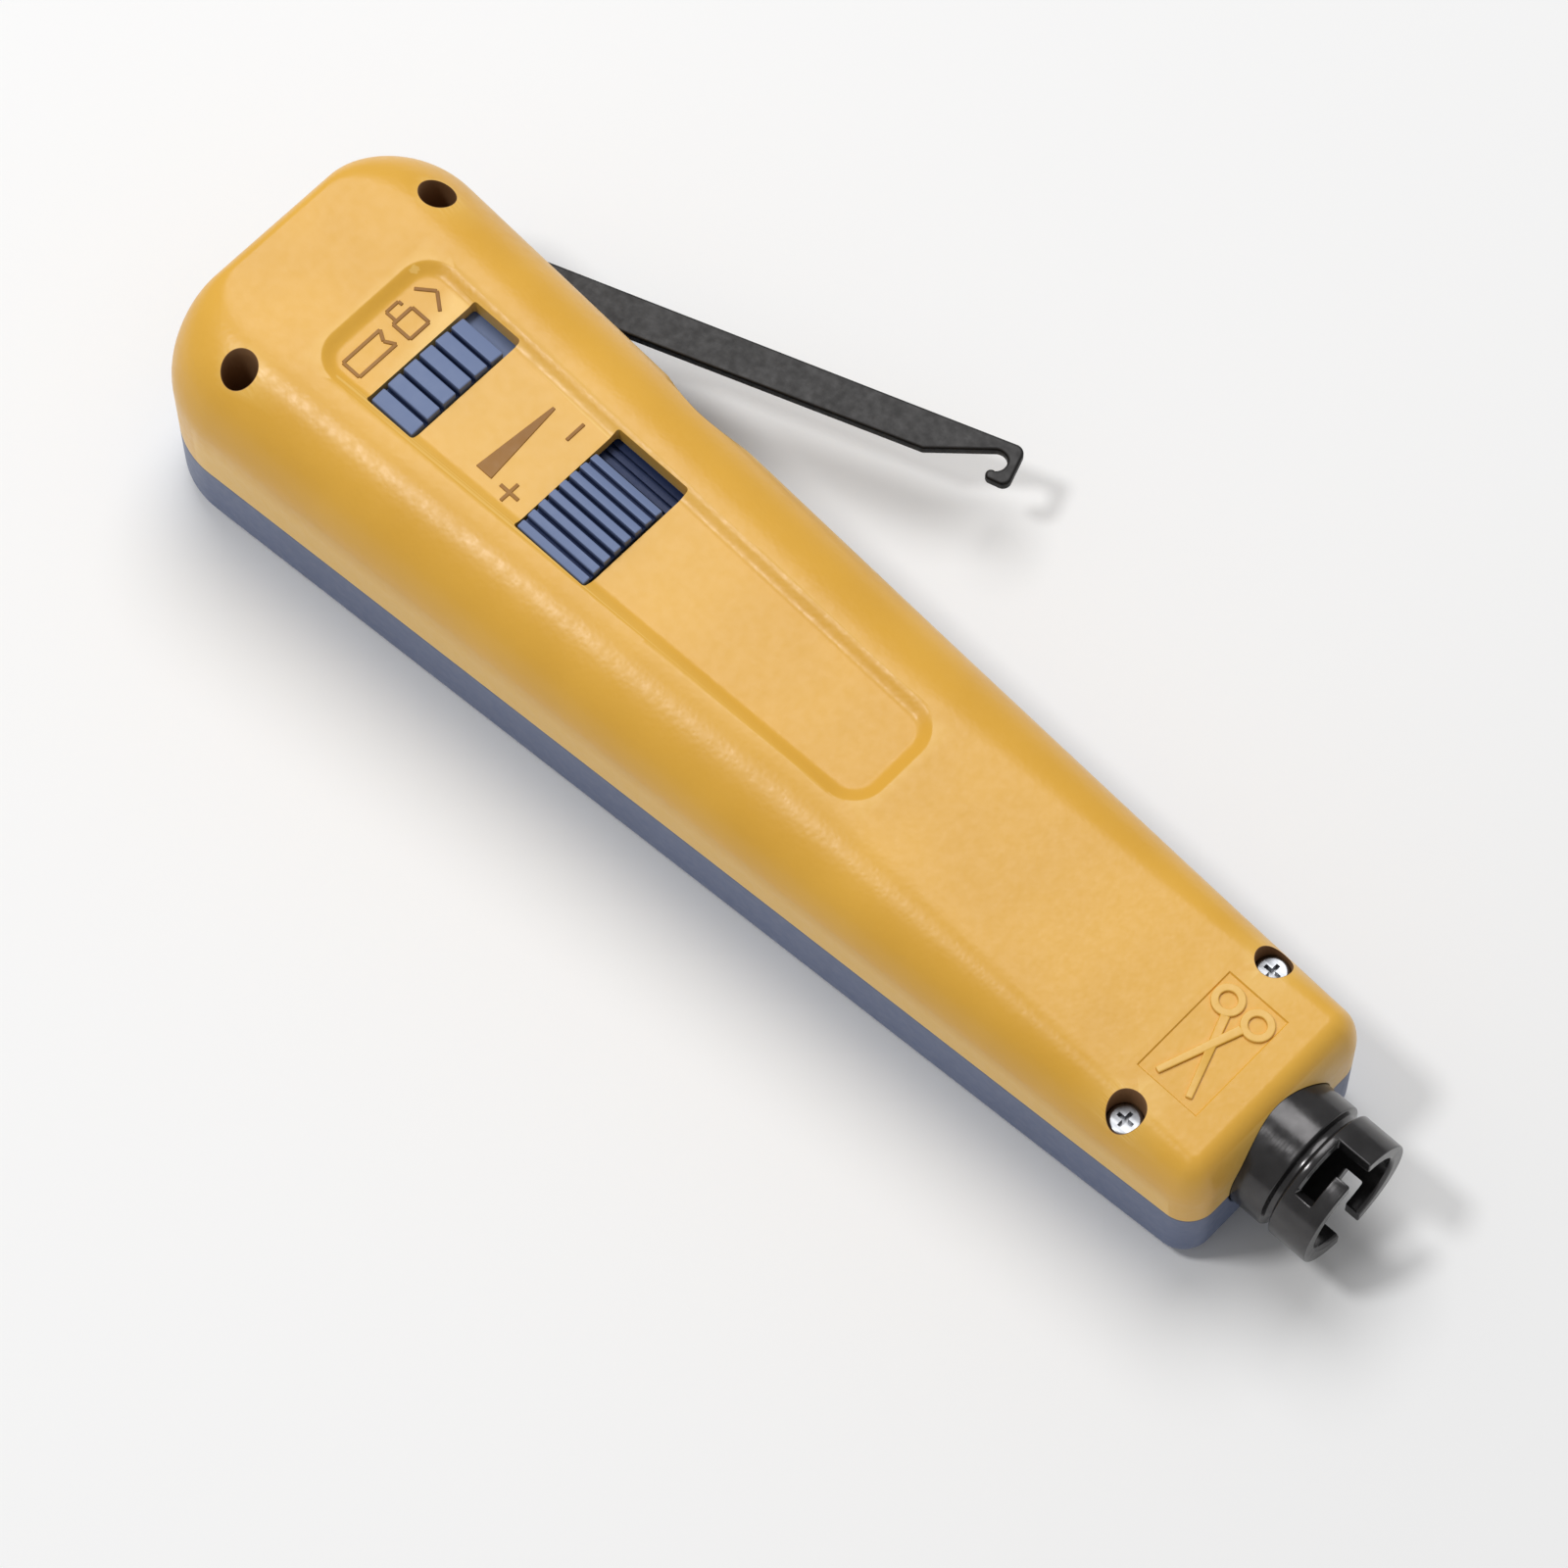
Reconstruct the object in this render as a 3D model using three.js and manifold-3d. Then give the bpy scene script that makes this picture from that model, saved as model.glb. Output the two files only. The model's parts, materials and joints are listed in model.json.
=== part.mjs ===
// Impact punch down tool: a two-shell handle with a spring-driven hammer, a bayonet blade socket,
// a side hook and two sliding buttons. Millimetres. X runs from the butt to the nose, Y to the hook
// side, and Z up from the flat back.
import * as THREE from 'three';
import { mergeVertices } from 'three/addons/utils/BufferGeometryUtils.js';
import Module from 'manifold-3d';

const wasm = await Module();
wasm.setup();

// Housing. X is measured from close to the butt, and the whole tool is moved back by ORIGIN_X.
const ORIGIN_X = 70.5;
const BUTT_END = -0.6;
const LENGTH = 142.4;            // where the nose face stands
const HALF_BUTT = 20.6;          // half width at the butt, before its corners
const HALF_NOSE = 13.2;
const BUTT_CORNER = 10;
const NOSE_CORNER = 3.4;
const SEAM = 10;                 // height of the parting plane
const SEAM_GAP = 0.1;
const TOP_BUTT = 27.6;           // the top face falls evenly from butt to nose
const TOP_NOSE = 19.4;
const WALL = 2.2;
const ROOF = 2.8;
const FLOOR = 1.6;
const CROWN_INSET = 3.1;         // rounding of the top edge at the ends, inwards and downwards
const CROWN_RISE = 10;
const CROWN_SPREAD = 6.5;        // how much softer the long edges are, fading out over FADE mm
const CAVITY_SPREAD = 3.5;
const FADE = 60;
const SOLE_ROUND = 3;            // rounding of the bottom edge
const NOSE_BLOCK = 126;          // the shells are solid round the socket from here on
const SHELL_LOW = 0.5;           // where the posts inside the lower shell start, within its floor
const RECESS = { x0: 14.8, x1: 91, half0: 9.2, half1: 6.9, corner: 4, depth: 0.9, slant: 1.6 };
const RELEASE_WINDOW = { x0: 22.6, x1: 29.3, half: 8 };
const LEVEL_WINDOW = { x0: 43.6, x1: 53.7, half: 7.75 };
const SLIDE_TOP = -2.9;          // the slides' plates, below the top face
const SLIDE_PLATE = 1.3;
const RELEASE = { x0: 20.5, x1: 31.4, y0: -10.5, y1: 9, pad0: 23.1, pad1: 29 };
const RELEASE_RIDGES = { y0: -7.7, y1: 5.8, top: 0.1, sag: 0.5, count: 6, gap: 0.45, groove: 0.9 };
const LEVEL = { x0: 41.2, x1: 55.2, y0: -11, y1: 8.6, tongue: 63.6, pad0: 43.9, pad1: 53.4 };
const LEVEL_RIDGES = { y0: -7.5, y1: 4.2, top: 0.3, sag: 0.7, count: 8, gap: 0.35, groove: 0.5 };
const TRAY = { x0: 18, x1: 56.6, half: 12.4, bottom: -5.7, top: -4.5 };
const THUMB_NOTCH = { x: 47.5, radius: 14, depth: 2, back: 1.8 };

// Case screws
const SCREW_SPOTS = [[10.6, 14.5], [10.6, -14.5], [131.1, 11], [131.1, -11]];
const BOSS = 3.5;
const WELL = 2;
const SCREW_HEAD = 1.85;
const SCREW_HEAD_TALL = 1.15;
const SCREW_FACE = 17;           // height of the heads' faces, so the butt wells are the deep ones
const SCREW_SHANK = 1.05;
const SCREW_TIP = 2.6;

// Drive line
const AXIS_Z = 10.6;
const SIDES = 32;
const BARREL = { x0: 127, x1: 152.2, radius: 7.5, bore: 5.7, floor: 133, groove: 146.2, dip: 0.8 };
const BARREL_PLAY = 0.1;
const BAYONET = { after: 2, half: 1.5, turn: 0.75, width: 2.2 };
const DISC = { x0: 138.1, x1: 140.1, slot0: 139.2, slotHalf: 0.9 };
const STEM = { x0: 95.8, x1: 132, tip: 2, shoulder: 102.4, radius: 3 };
const CLIP = { x0: 103, x1: 103.9, radius: 5, half: 1.2 };
const GUIDE = { x0: 104, x1: 107, half: 9, z0: 2.2, z1: 18.4 };
const HAMMER = { x0: 82, face: 94, x1: 96.2, radius: 6.5 };
const TRAVEL = 9;                // how far the socket goes back into the handle
const LATCH_SHIFT = 1.5;
const LATCH = { half: 4.5, below: 4.25, above: 2.3, thick: 1.65 };
const SEAT = { x0: 64.5, x1: 66, radius: 6.2 };
const RIBS = [[74, 76, 7.4], [88, 90, 7.4], [102.3, 103.9, 9.5], [107.1, 108.7, 9.5]];
const RIB_BORE = 6.62;

// Level cam
const CAM_SLOPE = 0.45;          // the seat's travel for each millimetre of the level slide
const CAM = { x0: 57.5, mid: 60.5, y0: -3.5, y1: 6.5, z0: 6, z1: 18.6 };
const WEDGE = { half: 5, tall: 4 };
const LEVEL_LEAF = { x0: 58.4, x1: 61.4, half: 7, rise: 3.9, thick: 0.4 };

// Blade store and its catch
const STORE = { x0: 4.3, x1: 56.5, y: -2.5, z: 8.5, bore: 6, radius: 6.8, end: 0.8 };
const CATCH = { x0: 20.8, x1: 23, y0: 6, y1: 8, tip: 2.2, z0: 7.6, z1: 9.4, top: 21.6 };
const CATCH_SPRING_Z = 13.2;
const LUG = { x0: 19.9, x1: 23.9, y0: 13, y1: 14.4, z0: 11.2 };

// Hook: it turns on a sleeve round the butt screw of its side. Its own frame has X along the bar.
const PIVOT = { x: SCREW_SPOTS[0][0], y: SCREW_SPOTS[0][1] };
const HOOK = { z0: 8.2, z1: 9.6, eye: 3.4, low: 1.1, high: 5.9, shoulder: 7, knee: 55.3 };
const CURL = { x: 62.95, y: 2.9, inner: 1.25, end: 65.4, top: 5.6, heel: 1.1, bottom: 0.45, toe: 1 };
const BULB = { x: 63.15, y: 1.15, radius: 0.62 };
const HOOK_REST = THREE.MathUtils.degToRad(19.5);
const SLEEVE = 1.9;
const WASHER = 3.2;
const SLOT = { x0: 6.4, x1: 79.5, y: 8, z: 7.7 };

const TOP_SLOPE = (TOP_NOSE - TOP_BUTT) / LENGTH;
const SIDE_SLOPE = (HALF_NOSE - HALF_BUTT) / LENGTH;
const topAt = (x) => TOP_BUTT + TOP_SLOPE * x;
const sideAt = (x) => HALF_BUTT + SIDE_SLOPE * x;

// Finishes
const finish = (color, roughness, metalness = 0) => (
  new THREE.MeshStandardMaterial({ color, roughness, metalness }));
const YELLOW = finish(0xe8ad45, 0.55);
const SLATE = finish(0x5c6a8c, 0.6);
const NAVY = finish(0x46546f, 0.5);
const BLACK_PLASTIC = finish(0x26282c, 0.6);
const BLACK_STEEL = finish(0x1d1e20, 0.35, 0.8);
const BRIGHT_STEEL = finish(0xb9bcc0, 0.3, 1);
const SPRING_STEEL = finish(0x8b8f94, 0.35, 1);

// ---- geometry helpers ----

// A closed three.js geometry as a solid, with its faces turned outwards.
function solid(geometry) {
  const bare = geometry.index ? geometry.toNonIndexed() : geometry.clone();
  bare.deleteAttribute('normal');
  bare.deleteAttribute('uv');
  const merged = mergeVertices(bare, 1e-5);
  const place = merged.attributes.position.array;
  const corners = [];
  for (let i = 0; i < merged.index.count; i += 3) {
    const [a, b, c] = [0, 1, 2].map((k) => merged.index.getX(i + k));
    if (a !== b && b !== c && c !== a) corners.push(a, b, c);
  }
  const build = (order) => new wasm.Manifold(new wasm.Mesh({
    numProp: 3, vertProperties: new Float32Array(place), triVerts: new Uint32Array(order) }));
  const body = build(corners);
  if (body.volume() > 0) return body;
  return build(corners.reverse());
}

function geometryOf(body) {
  const mesh = body.getMesh();
  const geometry = new THREE.BufferGeometry();
  geometry.setAttribute('position', new THREE.BufferAttribute(mesh.vertProperties, 3));
  geometry.setIndex(new THREE.BufferAttribute(mesh.triVerts, 1));
  return geometry;
}

const join = (...parts) => parts.reduce((whole, part) => whole.add(part));
const cut = (body, ...tools) => tools.reduce((rest, tool) => rest.subtract(tool), body);

function block(x0, x1, y0, y1, z0, z1) {
  const geometry = new THREE.BoxGeometry(x1 - x0, y1 - y0, z1 - z0);
  return geometry.translate((x0 + x1) / 2, (y0 + y1) / 2, (z0 + z1) / 2);
}

// A cylinder along X, round the point (y, z).
function rod(radius, x0, x1, y = 0, z = AXIS_Z, sides = SIDES) {
  const geometry = new THREE.CylinderGeometry(radius, radius, x1 - x0, sides);
  return geometry.rotateZ(-Math.PI / 2).translate((x0 + x1) / 2, y, z);
}

// A cylinder along Z, round the point (x, y).
function post(radius, x, y, z0, z1, sides = 20) {
  const geometry = new THREE.CylinderGeometry(radius, radius, z1 - z0, sides);
  return geometry.rotateX(Math.PI / 2).translate(x, y, (z0 + z1) / 2);
}

// A profile of [radius, x] pairs turned round the drive line.
function turned(profile) {
  const points = profile.map(([radius, x]) => new THREE.Vector2(radius, x));
  return new THREE.LatheGeometry(points, SIDES).rotateZ(-Math.PI / 2).translate(0, 0, AXIS_Z);
}

// A shape drawn in (y, z) and extruded along X from x0 to x1.
function acrossX(shape, x0, x1, curveSegments = 8) {
  const geometry = new THREE.ExtrudeGeometry(shape, { depth: x1 - x0, bevelEnabled: false, curveSegments });
  const turn = new THREE.Matrix4().makeBasis(
    new THREE.Vector3(0, 1, 0), new THREE.Vector3(0, 0, 1), new THREE.Vector3(1, 0, 0));
  return geometry.applyMatrix4(turn).translate(x0, 0, 0);
}

// Geometry drawn with z = 0 on a level top face, laid on the sloping one.
function onTop(geometry) {
  return geometry.rotateY(-Math.atan(TOP_SLOPE)).translate(0, 0, TOP_BUTT);
}

function polygon(points) {
  return new THREE.Shape(points.map(([x, y]) => new THREE.Vector2(x, y)));
}

// A round-wire helix along +Z from the origin.
class Helix extends THREE.Curve {
  constructor(radius, length, turns) {
    super();
    Object.assign(this, { radius, length, turns });
  }

  getPoint(t) {
    const angle = 2 * Math.PI * this.turns * t;
    return new THREE.Vector3(
      this.radius * Math.cos(angle), this.radius * Math.sin(angle), this.length * t);
  }
}

function coil(radius, wire, length, turns) {
  const ring = new THREE.Shape().absarc(0, 0, wire, 0, 2 * Math.PI);
  const geometry = new THREE.ExtrudeGeometry(ring, {
    steps: Math.round(turns * 12),
    extrudePath: new Helix(radius, length - 2 * wire, turns),
    curveSegments: 3,
    bevelEnabled: false,
  });
  return geometry.translate(0, 0, wire);
}

// ---- housing ----

// The housing's outline, moved inwards by inset: four arcs, with straight tapering sides.
function planShape(inset) {
  const tilt = Math.atan(SIDE_SLOPE);
  const side = Math.PI / 2 + tilt;
  const butt = BUTT_CORNER - inset;
  const nose = Math.max(NOSE_CORNER - inset, CROWN_INSET);
  const buttX = BUTT_END + inset + butt;
  const noseX = LENGTH - inset - nose;
  const buttY = sideAt(buttX) - (inset + butt) / Math.cos(tilt);
  const noseY = sideAt(noseX) - (inset + nose) / Math.cos(tilt);
  const shape = new THREE.Shape();
  shape.absarc(noseX, noseY, nose, 0, side);
  shape.absarc(buttX, buttY, butt, side, Math.PI);
  shape.absarc(buttX, -buttY, butt, Math.PI, 2 * Math.PI - side);
  shape.absarc(noseX, -noseY, nose, -side, 0);
  return shape;
}

// The space above the seam, with a rounded top edge and a top face that falls towards the nose.
function crown(inset, drop, softness) {
  const height = TOP_BUTT - drop - SEAM;
  const rise = CROWN_RISE - inset / 2;
  const geometry = new THREE.ExtrudeGeometry(planShape(inset), {
    depth: height - rise,
    bevelThickness: rise,
    bevelSize: CROWN_INSET - inset / 2,
    bevelOffset: inset / 2 - CROWN_INSET,
    bevelSegments: 4,
    curveSegments: 6,
  });
  const place = geometry.attributes.position;
  for (let i = 0; i < place.count; i += 1) {
    const x = place.getX(i);
    const z = place.getZ(i);
    const climb = THREE.MathUtils.clamp((z - height + rise) / rise, 0, 1);
    const spread = softness * Math.min((LENGTH - x) / FADE, 1);
    const pull = (1 - Math.sqrt(1 - climb ** 2)) * spread / (sideAt(x) - CROWN_INSET);
    const fall = (topAt(x) - SEAM) / (TOP_BUTT - SEAM);
    place.setY(i, place.getY(i) * (1 - pull));
    place.setZ(i, SEAM + Math.max(z, 0) * fall + Math.min(z, 0));
  }
  return geometry;
}

// The space below the seam, with a rounded bottom edge.
function tub(inset, floor) {
  const round = SOLE_ROUND - inset / 2;
  const geometry = new THREE.ExtrudeGeometry(planShape(inset), {
    depth: SEAM - floor,
    bevelThickness: round,
    bevelSize: round,
    bevelOffset: -round,
    bevelSegments: 3,
    curveSegments: 6,
  });
  return geometry.translate(0, 0, floor + round);
}

// The nose screws stand in the solid nose block, so only the butt ones need bosses.
const bossPosts = (z0, z1) => SCREW_SPOTS.filter(([x]) => x < NOSE_BLOCK)
  .map(([x, y]) => solid(post(BOSS, x, y, z0, z1)));
const everywhere = (z0, z1) => solid(block(-10, LENGTH + 20, -40, 40, z0, z1));
const hollow = (space) => cut(space, solid(block(NOSE_BLOCK, LENGTH + 9, -30, 30, -9, 40)));
const socketBore = () => solid(rod(BARREL.radius + BARREL_PLAY, BARREL.x0 - TRAVEL - 3, LENGTH + 1));
const storeMouth = () => solid(rod(STORE.bore, -1, STORE.x0, STORE.y, STORE.z));

// The hollow in the hook side for a thumb, and with extra, the thicker wall behind it.
function thumbNotch(extra = 0) {
  const { x, radius, depth } = THUMB_NOTCH;
  return solid(post(radius + extra, x, sideAt(x) + radius - depth, -1, TOP_BUTT + 1, 48));
}

// Cross ribs that hold the hammer and the stem guide, open round the drive line.
function ribs(z0, z1) {
  const walls = RIBS.map(([x0, x1, half]) => solid(block(x0, x1, -half, half, z0, z1)));
  return cut(join(...walls), solid(rod(RIB_BORE, 70, 112)));
}

function recessShape() {
  const { x0, x1, half0, half1, corner } = RECESS;
  const shape = new THREE.Shape();
  shape.absarc(x1 - corner, half1 - corner, corner, 0, Math.PI / 2);
  shape.absarc(x0 + corner, half0 - corner, corner, Math.PI / 2, Math.PI);
  shape.absarc(x0 + corner, corner - half0, corner, Math.PI, 1.5 * Math.PI);
  shape.absarc(x1 - corner, corner - half1, corner, 1.5 * Math.PI, 2 * Math.PI);
  return shape;
}

function recessCutter() {
  const geometry = new THREE.ExtrudeGeometry(recessShape(), {
    depth: 4,
    bevelThickness: RECESS.depth,
    bevelSize: RECESS.slant,
    bevelOffset: -RECESS.slant,
    bevelSegments: 2,
    curveSegments: 4,
  });
  return solid(onTop(geometry));
}

const windowCutter = ({ x0, x1, half }) => solid(onTop(block(x0, x1, -half, half, -5, 2)));

function upperShell() {
  const outside = solid(crown(0, 0, CROWN_SPREAD));
  const cavity = hollow(solid(crown(WALL, ROOF, CAVITY_SPREAD)));
  const springLug = solid(block(LUG.x0, LUG.x1, LUG.y0, LUG.y1, LUG.z0, TOP_BUTT));
  const inner = join(
    ...bossPosts(SEAM, TOP_BUTT), springLug, ribs(SEAM, TOP_BUTT),
    thumbNotch(THUMB_NOTCH.back)).intersect(outside);
  const wells = SCREW_SPOTS.flatMap(([x, y]) => {
    const seat = SCREW_FACE - SCREW_HEAD_TALL - 0.05;
    return [solid(post(WELL, x, y, seat, 40)), solid(post(SCREW_SHANK + 0.2, x, y, 0, 40))];
  });
  return cut(
    join(cut(outside, cavity), inner),
    everywhere(-20, SEAM),
    ...wells,
    socketBore(), storeMouth(), thumbNotch(),
    recessCutter(), windowCutter(RELEASE_WINDOW), windowCutter(LEVEL_WINDOW));
}

function lowerShell() {
  const outside = solid(tub(0, 0));
  const cavity = hollow(solid(tub(WALL, FLOOR)));
  const inner = join(
    ...bossPosts(SHELL_LOW, SEAM), ribs(SHELL_LOW, SEAM), thumbNotch(THUMB_NOTCH.back)).intersect(outside);
  const slot = solid(block(SLOT.x0, SLOT.x1, SLOT.y, HALF_BUTT + 9, SLOT.z, SEAM + 5));
  const shanks = SCREW_SPOTS.map(([x, y]) => solid(post(SCREW_SHANK + 0.05, x, y, SCREW_TIP - 0.2, 40)));
  return cut(
    cut(join(cut(outside, cavity), inner), slot),
    everywhere(SEAM - SEAM_GAP, 60),
    ...shanks,
    socketBore(), storeMouth(), thumbNotch());
}

// A pan-head screw with its point down.
function caseScrew(x, y) {
  const neck = SCREW_FACE - SCREW_HEAD_TALL;
  const profile = [
    [0, SCREW_TIP], [SCREW_SHANK - 0.3, SCREW_TIP], [SCREW_SHANK, SCREW_TIP + 0.8],
    [SCREW_SHANK, neck], [SCREW_HEAD, neck],
    [SCREW_HEAD, SCREW_FACE - 0.4], [SCREW_HEAD - 0.5, SCREW_FACE], [0, SCREW_FACE]];
  const points = profile.map(([radius, z]) => new THREE.Vector2(radius, z));
  return new THREE.LatheGeometry(points, 16).rotateX(Math.PI / 2).translate(x, y, 0);
}

// ---- buttons ----

// The end view of a grip pad: ridges along X on a crown that is highest in the middle.
function ridgedShape({ y0, y1, top, sag, count, gap, groove }) {
  const base = SLIDE_TOP - 0.2;
  const pitch = (y1 - y0 + gap) / count;
  const middle = (y0 + y1) / 2;
  const crownAt = (y) => top - sag * ((y - middle) / (y1 - middle)) ** 2;
  const points = [[y0, base]];
  for (let i = 0; i < count; i += 1) {
    const start = y0 + i * pitch;
    const end = start + pitch - gap;
    const rise = (end - start) * 0.2;
    points.push([start, crownAt(start) - groove], [start + rise, crownAt(start + rise)]);
    points.push([end - rise, crownAt(end - rise)], [end, crownAt(end) - groove]);
  }
  points.push([y1, base]);
  return polygon(points);
}

function slide({ x0, x1, y0, y1, pad0, pad1 }, ridges) {
  const plate = block(x0, x1, y0, y1, SLIDE_TOP - SLIDE_PLATE, SLIDE_TOP);
  return join(solid(onTop(plate)), solid(onTop(acrossX(ridgedShape(ridges), pad0, pad1))));
}

// The level slide has a tongue that reaches over its cam.
function levelSlide() {
  const tongue = block(LEVEL.x1 - 0.2, LEVEL.tongue, CAM.y0, CAM.y1, SLIDE_TOP - SLIDE_PLATE, SLIDE_TOP);
  return join(slide(LEVEL, LEVEL_RIDGES), solid(onTop(tongue)));
}

// A plate under both slides, with a slot for the release catch.
function slideTray() {
  const { x0, x1, half, bottom, top } = TRAY;
  const slot = block(CATCH.x0 - 0.5, CATCH.x1 + 0.5, CATCH.y0 - 0.6, CATCH.y1 + 2.6, SEAM, TOP_BUTT);
  return cut(solid(onTop(block(x0, x1, -half, half, bottom, top))), solid(slot));
}

// The arm and tooth that hold a stored blade, hung under the release slide.
function releaseCatch() {
  const { x0, x1, y0, y1, tip, z0, z1, top } = CATCH;
  const arm = solid(block(x0, x1, y0, y1, z0, top));
  return join(arm, solid(block(x0, x1, tip, y0 + 0.5, z0, z1)));
}

function storageTube() {
  const { x0, x1, y, z, bore, radius, end } = STORE;
  return cut(
    solid(rod(radius, x0, x1, y, z)),
    solid(rod(bore, x0 - 1, x1 - end, y, z)),
    solid(block(CATCH.x0 - 0.4, CATCH.x1 + 0.4, 0, radius + 2, CATCH.z0 - 0.4, CATCH.z1 + 0.4)));
}

// ---- level adjustment ----

const camFace = (y, offset) => CAM.mid + offset + CAM_SLOPE * y;

function planWedge(points, z0, z1) {
  const geometry = new THREE.ExtrudeGeometry(polygon(points), { depth: z1 - z0, bevelEnabled: false });
  return geometry.translate(0, 0, z0);
}

// The block under the level slide whose slanting face sets where the spring seat stands.
function levelCam() {
  const { x0, y0, y1, z0, z1 } = CAM;
  const corners = [[x0, y0], [camFace(y0, 0), y0], [camFace(y1, 0), y1], [x0, y1]];
  return planWedge(corners, z0, z1);
}

function springSeat() {
  const { half, tall } = WEDGE;
  const corners = [
    [camFace(-half, 0.1), -half], [SEAT.x0 + 0.2, -half], [SEAT.x0 + 0.2, half], [camFace(half, 0.1), half]];
  const wedge = solid(planWedge(corners, AXIS_Z - tall, AXIS_Z + tall));
  return join(solid(rod(SEAT.radius, SEAT.x0, SEAT.x1)), wedge);
}

// A bowed leaf on the floor that clicks under the cam.
function levelLeaf() {
  const { x0, x1, half, rise, thick } = LEVEL_LEAF;
  const low = FLOOR + 0.05;
  const steps = 8;
  const arch = (lift) => Array.from({ length: steps + 1 }, (_, i) => {
    const y = half * (2 * i / steps - 1);
    return [y, Math.max(low + lift + rise * (1 - (y / half) ** 2), low)];
  });
  return acrossX(polygon([...arch(0), ...arch(-thick).reverse()]), x0, x1);
}

// ---- hammer and drive ----

function hammer() {
  const { half, below, above } = LATCH;
  const pocket = block(
    HAMMER.face, HAMMER.x1 + 1, -half - 0.1, half + 0.1,
    AXIS_Z - below - 0.05, AXIS_Z + above + LATCH_SHIFT + 0.1);
  return cut(
    solid(rod(HAMMER.radius, HAMMER.x0, HAMMER.x1)),
    solid(pocket),
    solid(rod(STEM.tip + 0.3, HAMMER.face - TRAVEL - 0.5, HAMMER.face + 1)));
}

// The plate that the stem pushes on until its hole comes in line.
function latchPlate() {
  const { half, below, above, thick } = LATCH;
  const x0 = HAMMER.face + 0.05;
  const plate = block(x0, x0 + thick, -half, half, AXIS_Z - below, AXIS_Z + above);
  const hole = rod(STEM.tip + 0.2, HAMMER.face - 1, HAMMER.x1 + 1, 0, AXIS_Z - LATCH_SHIFT);
  return cut(solid(plate), solid(hole));
}

// A bowed leaf over the latch plate.
function latchLeaf() {
  const half = LATCH.half - 0.3;
  const thick = 0.25;
  const low = AXIS_Z + LATCH.above + 0.05;
  const arch = (lift) => Array.from({ length: 9 }, (_, i) => {
    const y = half * (i / 4 - 1);
    return [y, low + lift + 1.2 * (y / half) ** 2];
  });
  return acrossX(polygon([...arch(0), ...arch(thick).reverse()]), HAMMER.face + 0.3, HAMMER.face + 1.5);
}

function driveStem() {
  const { x0, x1, tip, shoulder, radius } = STEM;
  return turned([
    [0, x0], [tip - 0.3, x0], [tip, x0 + 0.3], [tip, shoulder], [radius, shoulder + 0.2],
    [radius, x1], [0, x1]]);
}

const stemClip = () => cut(
  solid(rod(CLIP.radius, CLIP.x0, CLIP.x1)),
  solid(rod(STEM.radius + 0.05, CLIP.x0 - 1, CLIP.x1 + 1)),
  solid(block(CLIP.x0 - 1, CLIP.x1 + 1, -CLIP.half, CLIP.half, AXIS_Z + 2, AXIS_Z + 6)));

const stemGuide = () => cut(
  solid(block(GUIDE.x0, GUIDE.x1, -GUIDE.half, GUIDE.half, GUIDE.z0, GUIDE.z1)),
  solid(rod(STEM.radius + 0.06, GUIDE.x0 - 1, GUIDE.x1 + 1)));

// Part of a ring round the drive line, from one angle to another.
function ringSector(inner, outer, from, to, x0, x1) {
  const shape = new THREE.Shape();
  shape.absarc(0, 0, outer, from, to);
  shape.absarc(0, 0, inner, to, from, true);
  return acrossX(shape, x0, x1).translate(0, 0, AXIS_Z);
}

// The steel socket: a groove behind the end collar and two L-shaped bayonet slots.
function driveBarrel() {
  const { x0, x1, radius, bore, floor, groove, dip } = BARREL;
  const body = solid(turned([
    [0, x0], [radius - 0.5, x0], [radius, x0 + 0.5], [radius, groove], [radius - dip, groove + 0.2],
    [radius - dip, groove + 1], [radius, groove + 1.2], [radius, x1 - 0.4], [radius - 0.4, x1],
    [bore + 0.3, x1], [bore, x1 - 0.3], [bore, floor], [0, floor]]));
  const { after, half, turn, width } = BAYONET;
  const start = groove + after;
  const slots = [Math.PI / 2, -Math.PI / 2].flatMap((angle) => {
    const [low, high] = [AXIS_Z, AXIS_Z + Math.sign(angle) * (radius + 0.5)].sort((a, b) => a - b);
    const entry = solid(block(start, x1 + 1, -half, half, low, high));
    const leg = solid(ringSector(bore - 1, radius + 1, angle, angle + turn, start, start + width));
    return [entry, leg];
  });
  return cut(body, solid(rod(STEM.radius + 0.03, x0 - 1, STEM.x1 + 0.05)), ...slots);
}

const bladeSeat = () => cut(
  solid(rod(BARREL.bore - 0.1, DISC.x0, DISC.x1)),
  solid(block(DISC.slot0, DISC.x1 + 1, -DISC.slotHalf, DISC.slotHalf, AXIS_Z - 7, AXIS_Z + 7)));

// ---- hook ----

// The flat hook: an eye, a bar that stands to one side of it, and a curl that turns back.
function hookShape() {
  const { eye, low, high, shoulder, knee } = HOOK;
  const shape = new THREE.Shape();
  shape.absarc(0, 0, eye, Math.PI * 0.6, 2 * Math.PI + Math.asin(low / eye));
  shape.lineTo(knee, low);
  shape.absarc(CURL.x, CURL.y, CURL.inner, Math.PI * 0.65, -Math.PI * 0.39, true);
  shape.absarc(BULB.x, BULB.y, BULB.radius, Math.PI * 0.42, Math.PI * 1.45);
  shape.absarc(CURL.end - CURL.toe, CURL.bottom + CURL.toe, CURL.toe, -Math.PI / 2, 0);
  shape.absarc(CURL.end - CURL.heel, CURL.top - CURL.heel, CURL.heel, 0, Math.PI / 2);
  shape.lineTo(shoulder, high);
  shape.holes.push(new THREE.Path().absarc(0, 0, SLEEVE + 0.05, 0, 2 * Math.PI, true));
  return shape;
}

function wireHook() {
  const geometry = new THREE.ExtrudeGeometry(hookShape(), {
    depth: HOOK.z1 - HOOK.z0, bevelEnabled: false, curveSegments: 10 });
  return geometry.rotateZ(HOOK_REST).translate(PIVOT.x, PIVOT.y, HOOK.z0);
}

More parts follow.
